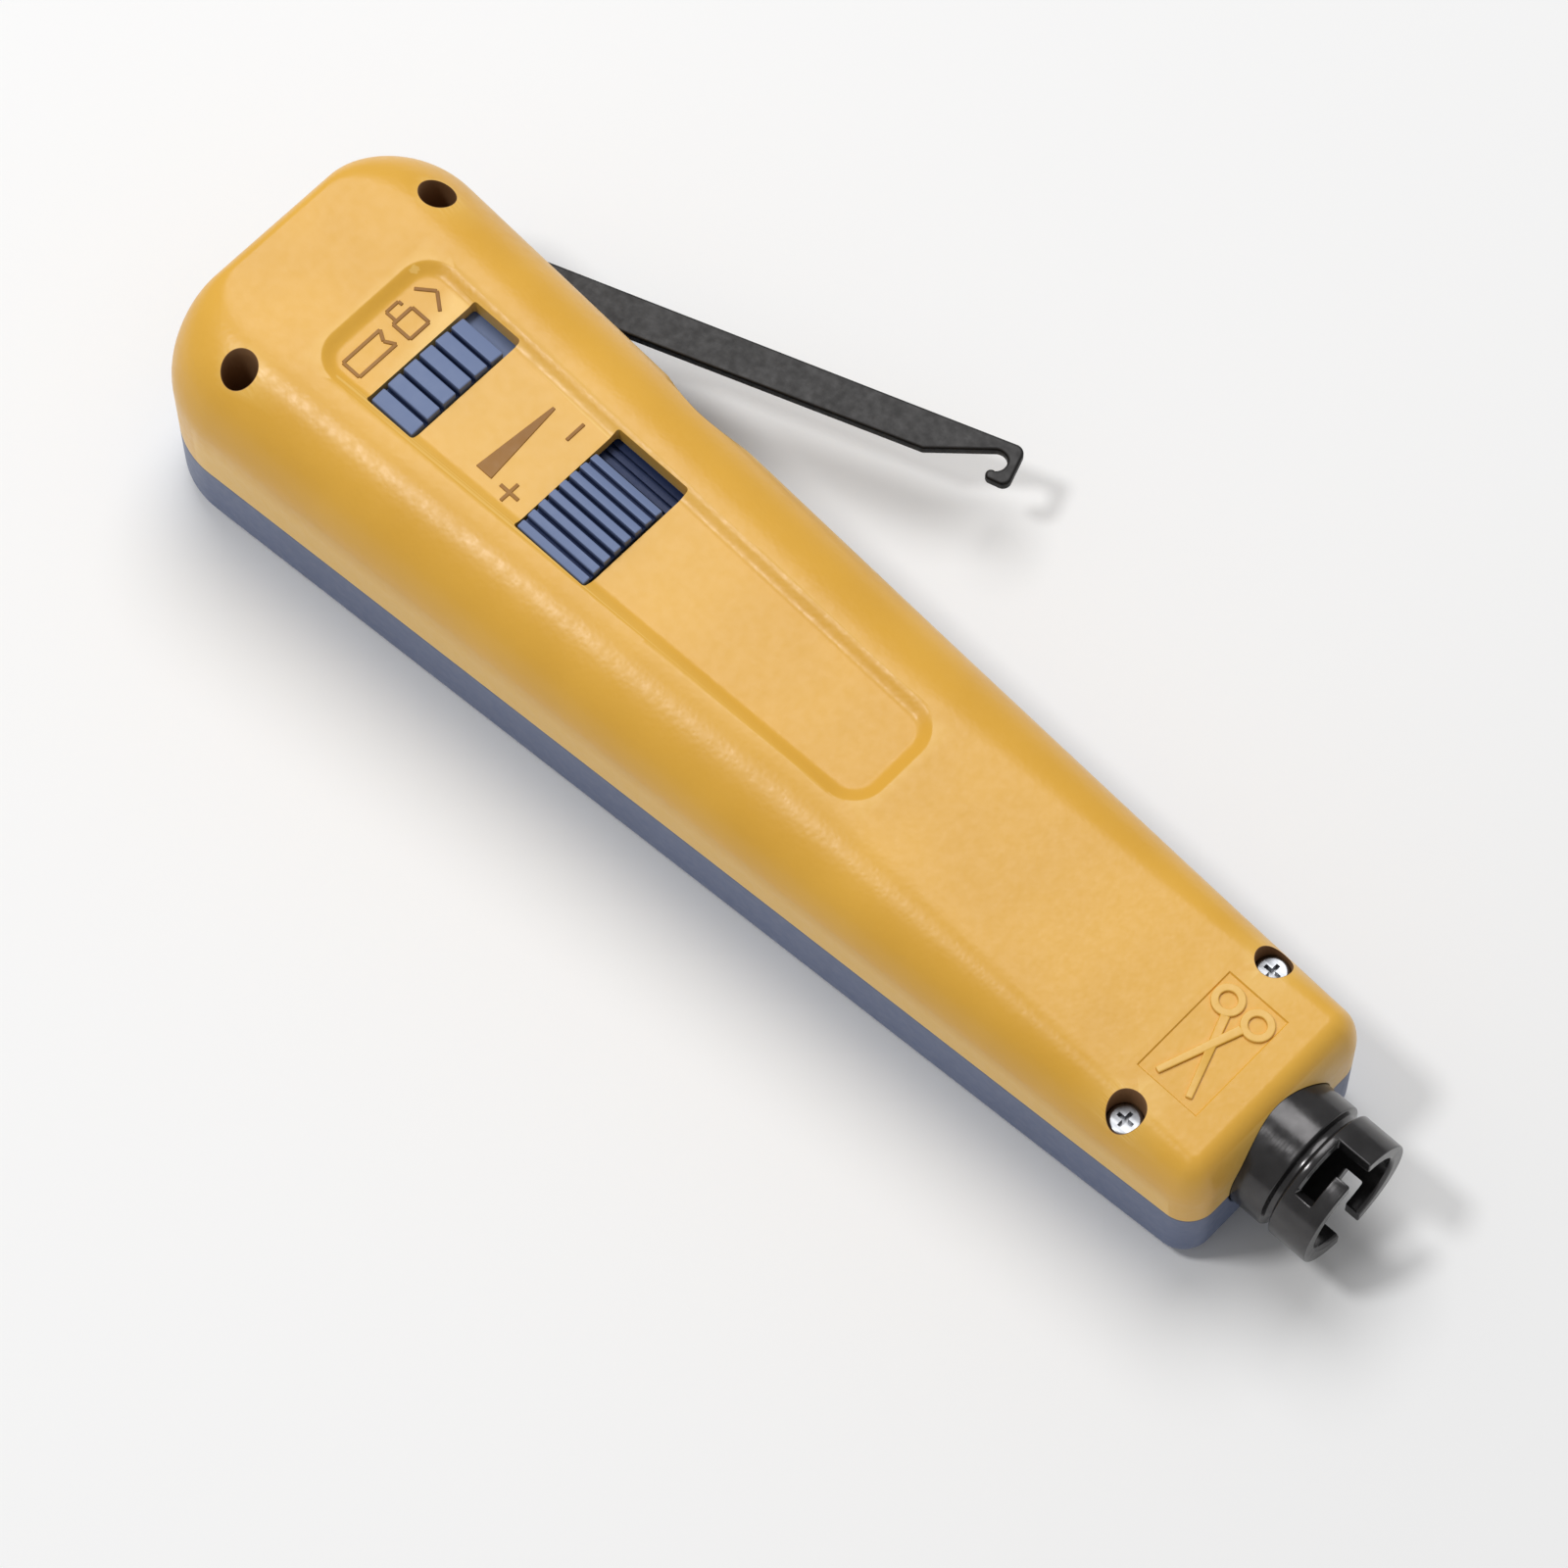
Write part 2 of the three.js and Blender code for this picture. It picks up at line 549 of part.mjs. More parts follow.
// A flat ring round the hook's pivot.
const pivotRing = (radius, bore, z0, z1) => cut(
  solid(post(radius, PIVOT.x, PIVOT.y, z0, z1)),
  solid(post(bore, PIVOT.x, PIVOT.y, 0, TOP_BUTT)));
const hookSleeve = () => pivotRing(SLEEVE, SCREW_SHANK + 0.05, SLOT.z + 0.03, SEAM - 0.03);
const hookWasher = () => pivotRing(WASHER, SLEEVE + 0.05, SLOT.z + 0.03, HOOK.z0 - 0.03);

// ---- assembly ----

const tool = new THREE.Group();
tool.position.x = -ORIGIN_X;

function place(name, shape, material) {
  const geometry = shape.isBufferGeometry ? shape : geometryOf(shape);
  const mesh = new THREE.Mesh(geometry, material);
  mesh.name = name;
  tool.add(mesh);
}

// A coil that starts at a point and runs along X or Y.
function placeSpring(name, { radius, wire, length, turns }, start, alongY = false) {
  const geometry = coil(radius, wire, length, turns);
  if (alongY) geometry.rotateX(-Math.PI / 2);
  else geometry.rotateY(Math.PI / 2);
  geometry.translate(...start);
  place(name, geometry, SPRING_STEEL);
}

place('upper_shell', upperShell(), YELLOW);
place('lower_shell', lowerShell(), SLATE);
SCREW_SPOTS.forEach(([x, y], i) => place(`case_screw_${i + 1}`, caseScrew(x, y), BRIGHT_STEEL));
place('release_slide', slide(RELEASE, RELEASE_RIDGES), NAVY);
place('release_catch', releaseCatch(), BLACK_PLASTIC);
placeSpring('release_spring', { radius: 1.6, wire: 0.2, length: 4.8, turns: 5 },
  [(CATCH.x0 + CATCH.x1) / 2, CATCH.y1 + 0.1, CATCH_SPRING_Z], true);
place('level_slide', levelSlide(), NAVY);
place('level_cam', levelCam(), BLACK_PLASTIC);
place('level_leaf', levelLeaf(), SPRING_STEEL);
place('slide_tray', slideTray(), BLACK_PLASTIC);
place('storage_tube', storageTube(), BLACK_PLASTIC);
place('spring_seat', springSeat(), BLACK_PLASTIC);
placeSpring('main_spring', { radius: 5.5, wire: 0.6, length: 15.8, turns: 5 }, [SEAT.x1 + 0.1, 0, AXIS_Z]);
place('hammer', hammer(), BLACK_STEEL);
place('latch_plate', latchPlate(), BRIGHT_STEEL);
place('latch_leaf', latchLeaf(), SPRING_STEEL);
place('drive_stem', driveStem(), BRIGHT_STEEL);
place('stem_clip', stemClip(), SPRING_STEEL);
place('stem_guide', stemGuide(), BLACK_PLASTIC);
placeSpring('return_spring', { radius: 5, wire: 0.55, length: 19.8, turns: 7 }, [GUIDE.x1 + 0.1, 0, AXIS_Z]);
place('drive_barrel', driveBarrel(), BLACK_STEEL);
placeSpring('seat_spring', { radius: 3.6, wire: 0.35, length: 4.8, turns: 3 },
  [BARREL.floor + 0.1, 0, AXIS_Z]);
place('blade_seat', bladeSeat(), BRIGHT_STEEL);
place('wire_hook', wireHook(), BLACK_STEEL);
place('hook_sleeve', hookSleeve(), BRIGHT_STEEL);
place('hook_washer', hookWasher(), SPRING_STEEL);

export default tool;
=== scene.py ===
"""Looks of an impact punch down tool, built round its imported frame. Metres; X runs from butt to nose."""
import json
import math

import bmesh
import bpy
from mathutils import Matrix, Vector


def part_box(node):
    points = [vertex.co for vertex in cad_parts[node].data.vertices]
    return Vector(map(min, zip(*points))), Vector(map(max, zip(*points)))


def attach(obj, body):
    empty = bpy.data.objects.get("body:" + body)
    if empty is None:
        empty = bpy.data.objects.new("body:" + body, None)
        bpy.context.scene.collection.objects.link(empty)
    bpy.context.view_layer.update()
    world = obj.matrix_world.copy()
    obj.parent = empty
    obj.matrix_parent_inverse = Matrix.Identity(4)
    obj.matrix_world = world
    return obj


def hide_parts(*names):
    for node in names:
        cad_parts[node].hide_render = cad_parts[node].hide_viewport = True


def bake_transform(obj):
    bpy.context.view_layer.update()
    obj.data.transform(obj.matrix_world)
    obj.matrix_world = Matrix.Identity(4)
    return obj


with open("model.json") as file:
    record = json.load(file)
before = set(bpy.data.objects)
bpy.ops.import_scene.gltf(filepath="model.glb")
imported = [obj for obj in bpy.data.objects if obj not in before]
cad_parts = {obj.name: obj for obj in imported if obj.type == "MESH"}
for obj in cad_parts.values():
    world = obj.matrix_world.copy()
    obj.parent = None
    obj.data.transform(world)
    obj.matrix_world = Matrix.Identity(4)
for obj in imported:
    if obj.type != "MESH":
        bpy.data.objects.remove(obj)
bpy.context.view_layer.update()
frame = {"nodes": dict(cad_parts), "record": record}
MM = 0.001

# ---- places and sizes, in metres, worked out from the frame ----

UPPER_LOW, UPPER_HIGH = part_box("upper_shell")
LOWER_LOW, LOWER_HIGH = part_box("lower_shell")
BARREL_LOW, BARREL_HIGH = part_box("drive_barrel")
SCREWS = [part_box(f"case_screw_{i}") for i in (1, 2, 3, 4)]
BUTT_SCREWS = [box for box in SCREWS if box[0].x < 0]

BUTT_X, NOSE_X = UPPER_LOW.x, UPPER_HIGH.x
SEAM_Z = UPPER_LOW.z
CREST_Z = UPPER_HIGH.z              # the highest point, a little way in from the butt
START_X = BUTT_X + 0.6 * MM         # where the tapers are measured from
TAPER_RUN = 142.4                   # millimetres from there to the nose end of the tapers
TOP_SLOPE = -8.2 / TAPER_RUN
SIDE_SLOPE = -7.4 / TAPER_RUN
TILT = math.atan(SIDE_SLOPE)
FALL = math.atan(-TOP_SLOPE)
CREST_IN, CREST_PLAY = 3.06 * MM, 0.02 * MM
BUTT_TOP_Z = CREST_Z + CREST_IN * -TOP_SLOPE - CREST_PLAY
HALF_BUTT = 20.6 * MM
BUTT_ROUND = 10 * MM
NOSE_ROUND = 3.4 * MM
WALL = 2.2 * MM
ROOF = 2.8 * MM
FLOOR = 1.6 * MM
CROWN_IN, CROWN_UP = 3.1 * MM, 10 * MM
CROWN_SPREAD, CAVITY_SPREAD = 6.5 * MM, 3.5 * MM
FADE = 60 * MM
SOLE_ROUND = 3 * MM
NOSE_BLOCK_X = START_X + 126 * MM
AXIS_Z = (BARREL_LOW.z + BARREL_HIGH.z) / 2
BARREL_R = (BARREL_HIGH.z - BARREL_LOW.z) / 2
WELL_R = 2 * MM
BOSS_R = 3.5 * MM
SHANK_R = 1.05 * MM


def from_butt(millimetres):
    return START_X + millimetres * MM


def top_at(x):
    return BUTT_TOP_Z + TOP_SLOPE * (x - START_X)


def side_at(x):
    return HALF_BUTT + SIDE_SLOPE * (x - START_X)


# ---- modelling helpers ----


def start_fresh():
    if bpy.context.object and bpy.context.object.mode != "OBJECT":
        bpy.ops.object.mode_set(mode="OBJECT")
    bpy.ops.object.select_all(action="DESELECT")


def only(piece):
    start_fresh()
    piece.select_set(True)
    bpy.context.view_layer.objects.active = piece


def settle(piece):
    """The piece's place goes into its mesh, and its object to the origin."""
    only(piece)
    bpy.ops.object.transform_apply(location=True, rotation=True, scale=True)
    return piece


def cube(name, low, high):
    start_fresh()
    low, high = Vector(low), Vector(high)
    bpy.ops.mesh.primitive_cube_add(size=1, location=(low + high) / 2)
    piece = bpy.context.object
    piece.name = name
    piece.scale = high - low
    return settle(piece)


def drum(name, radius, depth, centre, sides=64, turn=(0, 0, 0)):
    start_fresh()
    bpy.ops.mesh.primitive_cylinder_add(
        vertices=sides, radius=radius, depth=depth, location=centre, rotation=turn)
    piece = bpy.context.object
    piece.name = name
    return settle(piece)


ALONG_X = (0, math.pi / 2, 0)


def edit(piece, mode="VERT"):
    only(piece)
    bpy.ops.object.mode_set(mode="EDIT")
    bpy.ops.mesh.select_mode(type=mode)
    bpy.ops.mesh.select_all(action="DESELECT")
    return bmesh.from_edit_mesh(piece.data)


def choose(piece, mesh, kind, test):
    """Selects the faces, edges or vertices whose middle passes the test."""
    for item in getattr(mesh, kind):
        if kind == "verts":
            at = item.co
        elif kind == "edges":
            at = (item.verts[0].co + item.verts[1].co) / 2
        else:
            at = item.calc_center_median()
        item.select_set(bool(test(item, at)))
    mesh.select_flush_mode()
    bmesh.update_edit_mesh(piece.data)


def object_mode():
    bpy.ops.object.mode_set(mode="OBJECT")


def rise_of(edge):
    return abs(edge.verts[0].co.z - edge.verts[1].co.z)


def boolean(piece, tool, operation="DIFFERENCE"):
    """Cuts the tool out of the piece or joins it on, and removes the tool."""
    only(piece)
    change = piece.modifiers.new("cut", "BOOLEAN")
    change.operation = operation
    change.solver = "EXACT"
    change.object = tool
    bpy.ops.object.modifier_apply(modifier=change.name)
    bpy.data.objects.remove(tool)
    return piece


def tidy_mesh(piece, distance=0.008 * MM, dissolve=True):
    edit(piece)
    bpy.ops.mesh.select_all(action="SELECT")
    bpy.ops.mesh.remove_doubles(threshold=distance)
    if dissolve:
        bpy.ops.mesh.dissolve_limited(angle_limit=math.radians(0.05))
    bpy.ops.mesh.normals_make_consistent(inside=False)
    object_mode()


def soften_edges(piece, width, segments=3, angle=35):
    only(piece)
    change = piece.modifiers.new("edges", "BEVEL")
    change.width = width
    change.segments = segments
    change.limit_method = "ANGLE"
    change.angle_limit = math.radians(angle)
    change.use_clamp_overlap = False
    change.miter_outer = "MITER_ARC"
    bpy.ops.object.modifier_apply(modifier=change.name)


def smooth(piece, angle=40):
    only(piece)
    bpy.ops.object.shade_smooth_by_angle(angle=math.radians(angle))
    change = piece.modifiers.new("normals", "WEIGHTED_NORMAL")
    change.keep_sharp = True
    change.weight = 50
    bpy.ops.object.modifier_apply(modifier=change.name)


def lay_on_top(piece):
    """Turns a piece drawn level, with its top at z = 0, onto the falling top face."""
    piece.data.transform(
        Matrix.Translation((START_X, 0, BUTT_TOP_Z)) @ Matrix.Rotation(FALL, 4, "Y"))
    return piece


def finished(piece, body, material, slot, *nodes):
    piece.data.materials.clear()
    piece.data.materials.append(material)
    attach(piece, body)
    if nodes:
        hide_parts(*nodes)
    return piece


# ---- materials ----


class Finish:
    """A node material that is built up a layer at a time on Object coordinates."""

    def __init__(self, name, roughness, metallic=0.0, specular=0.5):
        self.material = bpy.data.materials.new(name)
        self.material.use_nodes = True
        self.tree = self.material.node_tree
        self.shader = self.tree.nodes["Principled BSDF"]
        self.shader.inputs["Metallic"].default_value = metallic
        self.shader.inputs["Specular IOR Level"].default_value = specular
        self.shader.inputs["Roughness"].default_value = roughness
        self.place = self.node("ShaderNodeTexCoord").outputs["Object"]
        self.normal = None

    def node(self, kind, **inputs):
        made = self.tree.nodes.new(kind)
        for key, value in inputs.items():
            made.inputs[key.replace("_", " ")].default_value = value
        return made

    def link(self, source, target):
        self.tree.links.new(source, target)

    def stretched(self, scale):
        mapping = self.node("ShaderNodeMapping")
        mapping.inputs["Scale"].default_value = scale
        self.link(self.place, mapping.inputs["Vector"])
        return mapping.outputs["Vector"]

    def noise(self, size, detail=3.0, stretch=(1, 1, 1)):
        """Noise whose features are about size metres across."""
        texture = self.node("ShaderNodeTexNoise", Scale=1 / size, Detail=detail)
        self.link(self.stretched(stretch), texture.inputs["Vector"])
        return texture.outputs["Fac"]

    def cells(self, size):
        texture = self.node("ShaderNodeTexVoronoi", Scale=1 / size)
        texture.feature = "SMOOTH_F1"
        self.link(self.stretched((1, 1, 1)), texture.inputs["Vector"])
        return texture.outputs["Distance"]

    def ramp(self, source, low, high, at=(0.35, 0.65)):
        made = self.node("ShaderNodeValToRGB")
        for point, colour, where in zip(made.color_ramp.elements, (low, high), at):
            point.position = where
            point.color = (*colour, 1)
        self.link(source, made.inputs["Fac"])
        return made.outputs["Color"]

    def spread(self, source, low, high):
        made = self.node("ShaderNodeMapRange")
        made.inputs["From Min"].default_value = 0.3
        made.inputs["From Max"].default_value = 0.7
        made.inputs["To Min"].default_value = low
        made.inputs["To Max"].default_value = high
        self.link(source, made.inputs["Value"])
        return made.outputs["Result"]

    def mix(self, share, first, second):
        made = self.node("ShaderNodeMix")
        made.data_type = "RGBA"
        for source, socket in ((share, made.inputs[0]), (first, made.inputs[6]), (second, made.inputs[7])):
            if isinstance(source, tuple):
                socket.default_value = (*source, 1)
            else:
                self.link(source, socket)
        return made.outputs[2]

    def colour(self, source):
        self.link(source, self.shader.inputs["Base Color"])

    def rough(self, source):
        self.link(source, self.shader.inputs["Roughness"])

    def bump(self, height, depth):
        """A relief of that depth in metres, on top of the reliefs before it."""
        made = self.node("ShaderNodeBump", Strength=1.0, Distance=depth)
        self.link(height, made.inputs["Height"])
        if self.normal is not None:
            self.link(self.normal, made.inputs["Normal"])
        self.normal = made.outputs["Normal"]
        self.link(self.normal, self.shader.inputs["Normal"])

    def wear(self, low=0.505, high=0.56):
        """1 along outer edges and 0 elsewhere."""
        geometry = self.node("ShaderNodeNewGeometry")
        made = self.node("ShaderNodeMapRange")
        made.inputs["From Min"].default_value = low
        made.inputs["From Max"].default_value = high
        self.link(geometry.outputs["Pointiness"], made.inputs["Value"])
        return made.outputs["Result"]


def moulded_plastic(name, dark, light, roughness, grain=0.55 * MM, depth=0.015 * MM,
                    worn=None, specular=0.42):
    """Pebbled plastic: two close shades, an orange-peel relief and slightly paler edges."""
    made = Finish(name, roughness, specular=specular)
    shade = made.ramp(made.noise(14 * MM, 2), dark, light)
    if worn:
        shade = made.mix(made.wear(), shade, worn)
    made.shade = shade
    made.colour(shade)
    made.roughness = made.spread(made.noise(1.1 * MM, 4), roughness - 0.05, roughness + 0.06)
    made.rough(made.roughness)
    made.bump(made.cells(grain), depth)
    made.bump(made.noise(grain * 2.4, 3), depth * 0.8)
    return made


def turned_steel(name, dark, light, roughness, ring=0.22 * MM):
    """Blackened steel with the fine rings that a lathe leaves round X."""
    made = Finish(name, roughness, metallic=0.75, specular=0.5)
    made.colour(made.ramp(made.noise(3 * MM, 3), dark, light))
    made.rough(made.spread(made.noise(1.2 * MM, 4), roughness - 0.05, roughness + 0.07))
    made.bump(made.noise(ring, 2, (1, 0.02, 0.02)), 0.004 * MM)
    made.bump(made.noise(0.5 * MM, 4), 0.002 * MM)
    return made.material


def drawn_steel(name, dark, light, roughness, stretch=(0.08, 1, 1)):
    """Bright or spring steel with fine marks in one direction."""
    made = Finish(name, roughness, metallic=1.0)
    made.colour(made.mix(made.wear(0.51, 0.6), made.ramp(made.noise(1.5 * MM, 3), dark, light), light))
    made.rough(made.spread(made.noise(0.5 * MM, 4, stretch), roughness - 0.06, roughness + 0.09))
    made.bump(made.noise(0.18 * MM, 3, stretch), 0.004 * MM)
    return made.material


def wells_painted_shade(made, roughness, well_shade_colour):
    """Painted shade inside the screw wells, which are round places on X and Y; the plastic there is also
    made matt.
    """
    flat = made.node("ShaderNodeVectorMath")
    flat.operation = "MULTIPLY"
    made.link(made.place, flat.inputs[0])
    flat.inputs[1].default_value = (1, 1, 0)
    shade, matt = made.shade, made.roughness
    for low, high in SCREWS:
        away = made.node("ShaderNodeVectorMath")
        away.operation = "DISTANCE"
        made.link(flat.outputs["Vector"], away.inputs[0])
        away.inputs[1].default_value = ((low.x + high.x) / 2, (low.y + high.y) / 2, 0)
        inside = made.node("ShaderNodeMapRange")
        inside.inputs["From Min"].default_value = WELL_R + 0.06 * MM
        inside.inputs["From Max"].default_value = WELL_R + 0.02 * MM
        made.link(away.outputs["Value"], inside.inputs["Value"])
        # painted shade: the dark brown colour is mixed in inside each well
        shade = made.mix(inside.outputs["Result"], shade, well_shade_colour)
        matt = made.mix(inside.outputs["Result"], matt, (roughness, roughness, roughness))
    made.colour(shade)
    made.rough(matt)


def hook_plate_shaded_sides(name, face, edge, roughness):
    """Satin grey faces, with the side faces painted near black as shade, rubbed a little along the length.
    """
    made = Finish(name, roughness, metallic=0.6)
    split = made.node("ShaderNodeSeparateXYZ")
    made.link(made.node("ShaderNodeNewGeometry").outputs["Normal"], split.inputs["Vector"])
    upward = made.node("ShaderNodeMapRange")
    upward.inputs["From Min"].default_value = 0.55
    upward.inputs["From Max"].default_value = 0.93
    level = made.node("ShaderNodeMath")
    level.operation = "ABSOLUTE"
    made.link(split.outputs["Z"], level.inputs[0])
    made.link(level.outputs["Value"], upward.inputs["Value"])
    mottled = made.ramp(made.noise(2.5 * MM, 4), face, tuple(1.25 * part for part in face))
    # painted shade: side faces take the near-black colour, and upward and downward faces keep the grey
    made.colour(made.mix(upward.outputs["Result"], edge, mottled))
    made.rough(made.spread(made.noise(0.9 * MM, 4), roughness - 0.05, roughness + 0.1))
    made.bump(made.noise(0.5 * MM, 4, (0.2, 1, 1)), 0.006 * MM)
    return made.material


YELLOW = moulded_plastic(
    "housing_yellow", (0.745, 0.4, 0.048), (0.795, 0.435, 0.057), 0.33, worn=(0.86, 0.53, 0.13))
# the dark brown colour here is painted shade inside the deep screw wells
wells_painted_shade(YELLOW, 0.85, (0.3, 0.155, 0.065))
HOUSING_YELLOW = YELLOW.material
HOUSING_SLATE = moulded_plastic(
    "housing_slate", (0.085, 0.115, 0.215), (0.1, 0.132, 0.24), 0.42, worn=(0.17, 0.2, 0.3)).material
SLIDE_NAVY = moulded_plastic(
    "slide_navy", (0.017, 0.03, 0.09), (0.025, 0.042, 0.115), 0.42,
    grain=0.3 * MM, depth=0.006 * MM, worn=(0.16, 0.21, 0.36), specular=0.2).material
# the raised panel marks get a darker amber copy of the housing plastic: painted shade along the raised lines
MARK_SHADED_AMBER = moulded_plastic(
    "mark_amber_painted_shade", (0.3, 0.13, 0.018), (0.36, 0.165, 0.025), 0.5, depth=0.008 * MM).material
BLACK_PLASTIC = moulded_plastic(
    "black_plastic", (0.018, 0.018, 0.02), (0.028, 0.028, 0.031), 0.5, worn=(0.06, 0.06, 0.065)).material
BARREL_STEEL = turned_steel("barrel_steel", (0.055, 0.053, 0.054), (0.072, 0.07, 0.071), 0.2)
# the near-black second colour is painted shade on the hook's side faces
HOOK_STEEL = hook_plate_shaded_sides("hook_steel", (0.03, 0.029, 0.029), (0.003, 0.003, 0.003), 0.48)
BRIGHT_STEEL = drawn_steel("bright_steel", (0.3, 0.31, 0.33), (0.44, 0.45, 0.47), 0.36)
SPRING_STEEL = drawn_steel("spring_steel", (0.3, 0.31, 0.33), (0.42, 0.43, 0.45), 0.3)

CAD_FINISHES = {
    "housing_yellow": HOUSING_YELLOW, "housing_slate": HOUSING_SLATE, "slide_navy": SLIDE_NAVY,
    "black_plastic": BLACK_PLASTIC, "black_steel": BARREL_STEEL, "bright_steel": BRIGHT_STEEL,
    "spring_steel": SPRING_STEEL,
}


def finish_cad_nodes():
    for part in frame["record"]["subparts"]:
        node = frame["nodes"][part["node"]]
        node.data.materials.clear()
        node.data.materials.append(CAD_FINISHES[part["material_slot"]])


# ---- housing ----


def handle_block(name, inset, low, high):
    """A block with the handle's outline, moved inwards by inset: tapered, with four round corners."""
    block = cube(name, (BUTT_X + inset, -1, low), (NOSE_X - inset, 1, high))
    for corner in block.data.vertices:
        corner.co.y *= side_at(corner.co.x) - inset
    mesh = edit(block, "EDGE")
    upright = (high - low) / 2
    middle_x = (BUTT_X + NOSE_X) / 2
    choose(block, mesh, "edges", lambda edge, at: rise_of(edge) > upright and at.x < middle_x)
    butt = (BUTT_ROUND - inset) / math.tan(math.pi / 4 + TILT / 2)
    bpy.ops.mesh.bevel(offset=butt, segments=24, affect="EDGES")
    mesh = bmesh.from_edit_mesh(block.data)
    nose_edge = NOSE_X - inset - 0.1 * MM
    choose(block, mesh, "edges", lambda edge, at: rise_of(edge) > upright and at.x > nose_edge)
    nose = max(NOSE_ROUND - inset, CROWN_IN + 0.05 * MM) / math.tan(math.pi / 4 - TILT / 2)
    bpy.ops.mesh.bevel(offset=nose, segments=14, affect="EDGES")
    object_mode()
    return block


def round_end(block, inwards, along, level, steps=16):
    """Rounds the block's end face at that level: rings that go in and out on a quarter of an ellipse."""
    mesh = edit(block, "FACE")
    choose(block, mesh, "faces", lambda face, at: abs(at.z - level) < 0.01 * MM)
    turns = [math.pi / 2 * step / steps for step in range(steps + 1)]
    for before, after in zip(turns, turns[1:]):
        bpy.ops.mesh.inset(
            thickness=inwards * (math.cos(before) - math.cos(after)),
            depth=along * (math.sin(after) - math.sin(before)))
    object_mode()


def slice_lengthwise(block, pitch=3 * MM):
    """Cuts the long sides into short stretches, so that they can curve."""
    x = BUTT_X + BUTT_ROUND + 1.5 * MM
    while x < NOSE_X - NOSE_ROUND - 1 * MM:
        edit(block)
        bpy.ops.mesh.select_all(action="SELECT")
        bpy.ops.mesh.bisect(plane_co=(x, 0, 0), plane_no=(1, 0, 0))
        object_mode()
        x += pitch


def crown_block(name, inset, drop, softness):
    """The space above the seam: a crown with soft long edges, under a top that falls to the nose."""
    tall = BUTT_TOP_Z - drop - SEAM_Z
    rise = CROWN_UP - inset / 2
    block = handle_block(name, inset, SEAM_Z, SEAM_Z + tall - rise)
    round_end(block, CROWN_IN - inset / 2, rise, SEAM_Z + tall - rise, 24)
    slice_lengthwise(block)
    for vertex in block.data.vertices:
        place = vertex.co
        height = place.z - SEAM_Z
        climb = min(max((height - tall + rise) / rise, 0), 1)
        spread = softness * min((NOSE_X - place.x) / FADE, 1)
        pull = (1 - math.sqrt(1 - climb ** 2)) * spread / (side_at(place.x) - CROWN_IN)
        place.y *= 1 - pull
        place.z = SEAM_Z + height * (top_at(place.x) - SEAM_Z) / (BUTT_TOP_Z - SEAM_Z)
    return block


def tub_block(name, inset, floor):
    """The space below the seam, with a rounded bottom edge."""
    round_off = SOLE_ROUND - inset / 2
    block = handle_block(name, inset, floor + round_off, LOWER_HIGH.z + (inset > 0) * MM)
    round_end(block, round_off, round_off, floor + round_off, 12)
    return block


RECESS_X0, RECESS_X1 = 14.8 * MM, 91 * MM
RECESS_HALF0, RECESS_HALF1 = 9.2 * MM, 6.9 * MM
RECESS_CORNER = 4 * MM
RECESS_DEPTH, RECESS_SLANT = 0.9 * MM, 2 * MM


def recess_cutter():
    """The long shallow panel: a tapered outline whose wall runs down in a soft S."""
    tool = cube("recess", (RECESS_X0, -1, 0), (RECESS_X1, 1, 2 * MM))
    taper = (RECESS_HALF1 - RECESS_HALF0) / (RECESS_X1 - RECESS_X0)
    for corner in tool.data.vertices:
        corner.co.y *= RECESS_HALF0 + taper * (corner.co.x - RECESS_X0)
    mesh = edit(tool, "EDGE")
    choose(tool, mesh, "edges", lambda edge, at: rise_of(edge) > MM)
    bpy.ops.mesh.bevel(offset=RECESS_CORNER, segments=16, affect="EDGES")
    mesh = bmesh.from_edit_mesh(tool.data)
    bpy.ops.mesh.select_mode(type="FACE")
    choose(tool, mesh, "faces", lambda face, at: abs(at.z) < 0.01 * MM)
    steps = 10
    dips = [RECESS_DEPTH * (1 - math.cos(math.pi * (0.18 + 0.82 * step / steps))) / 2
            for step in range(steps + 1)]
    for before, after in zip(dips, dips[1:]):
        bpy.ops.mesh.inset(thickness=RECESS_SLANT / steps, depth=after - before)
    object_mode()
    return lay_on_top(tool)


RELEASE_WINDOW = (22.6 * MM, 29.3 * MM, 8 * MM)     # from X, to X, half the width
LEVEL_WINDOW = (43.6 * MM, 53.7 * MM, 7.75 * MM)
WINDOW_CORNER = 0.35 * MM


def window_cutter(x0, x1, half):
    """A straight opening with slightly rounded corners."""
    tool = cube("window", (x0, -half, -5 * MM), (x1, half, 2 * MM))
    mesh = edit(tool, "EDGE")
    choose(tool, mesh, "edges", lambda edge, at: rise_of(edge) > MM)
    bpy.ops.mesh.bevel(offset=WINDOW_CORNER, segments=4, affect="EDGES")
    object_mode()
    return lay_on_top(tool)


NOTCH_X, NOTCH_R, NOTCH_DEPTH = 47.5 * MM, 14 * MM, 2 * MM
STORE_R = 6 * MM
SCREW_SEAT = 1.2 * MM
SEAM_BAND = 3.3 * MM
HOOK_SLOT = (from_butt(6.4), 8 * MM, 7.7 * MM), (from_butt(79.5), 30 * MM, SEAM_Z + 5 * MM)


def middle(box):
    return (box[0] + box[1]) / 2


def thumb_notch():
    x = START_X + NOTCH_X
    y = side_at(x) + NOTCH_R - NOTCH_DEPTH
    return drum("notch", NOTCH_R, 80 * MM, (x, y, SEAM_Z), 128)


def socket_bore():
    start, end = BARREL_LOW.x - 12 * MM, NOSE_X + MM
    return drum("bore", BARREL_R + 0.1 * MM, end - start, ((end + start) / 2, 0, AXIS_Z), 96, ALONG_X)


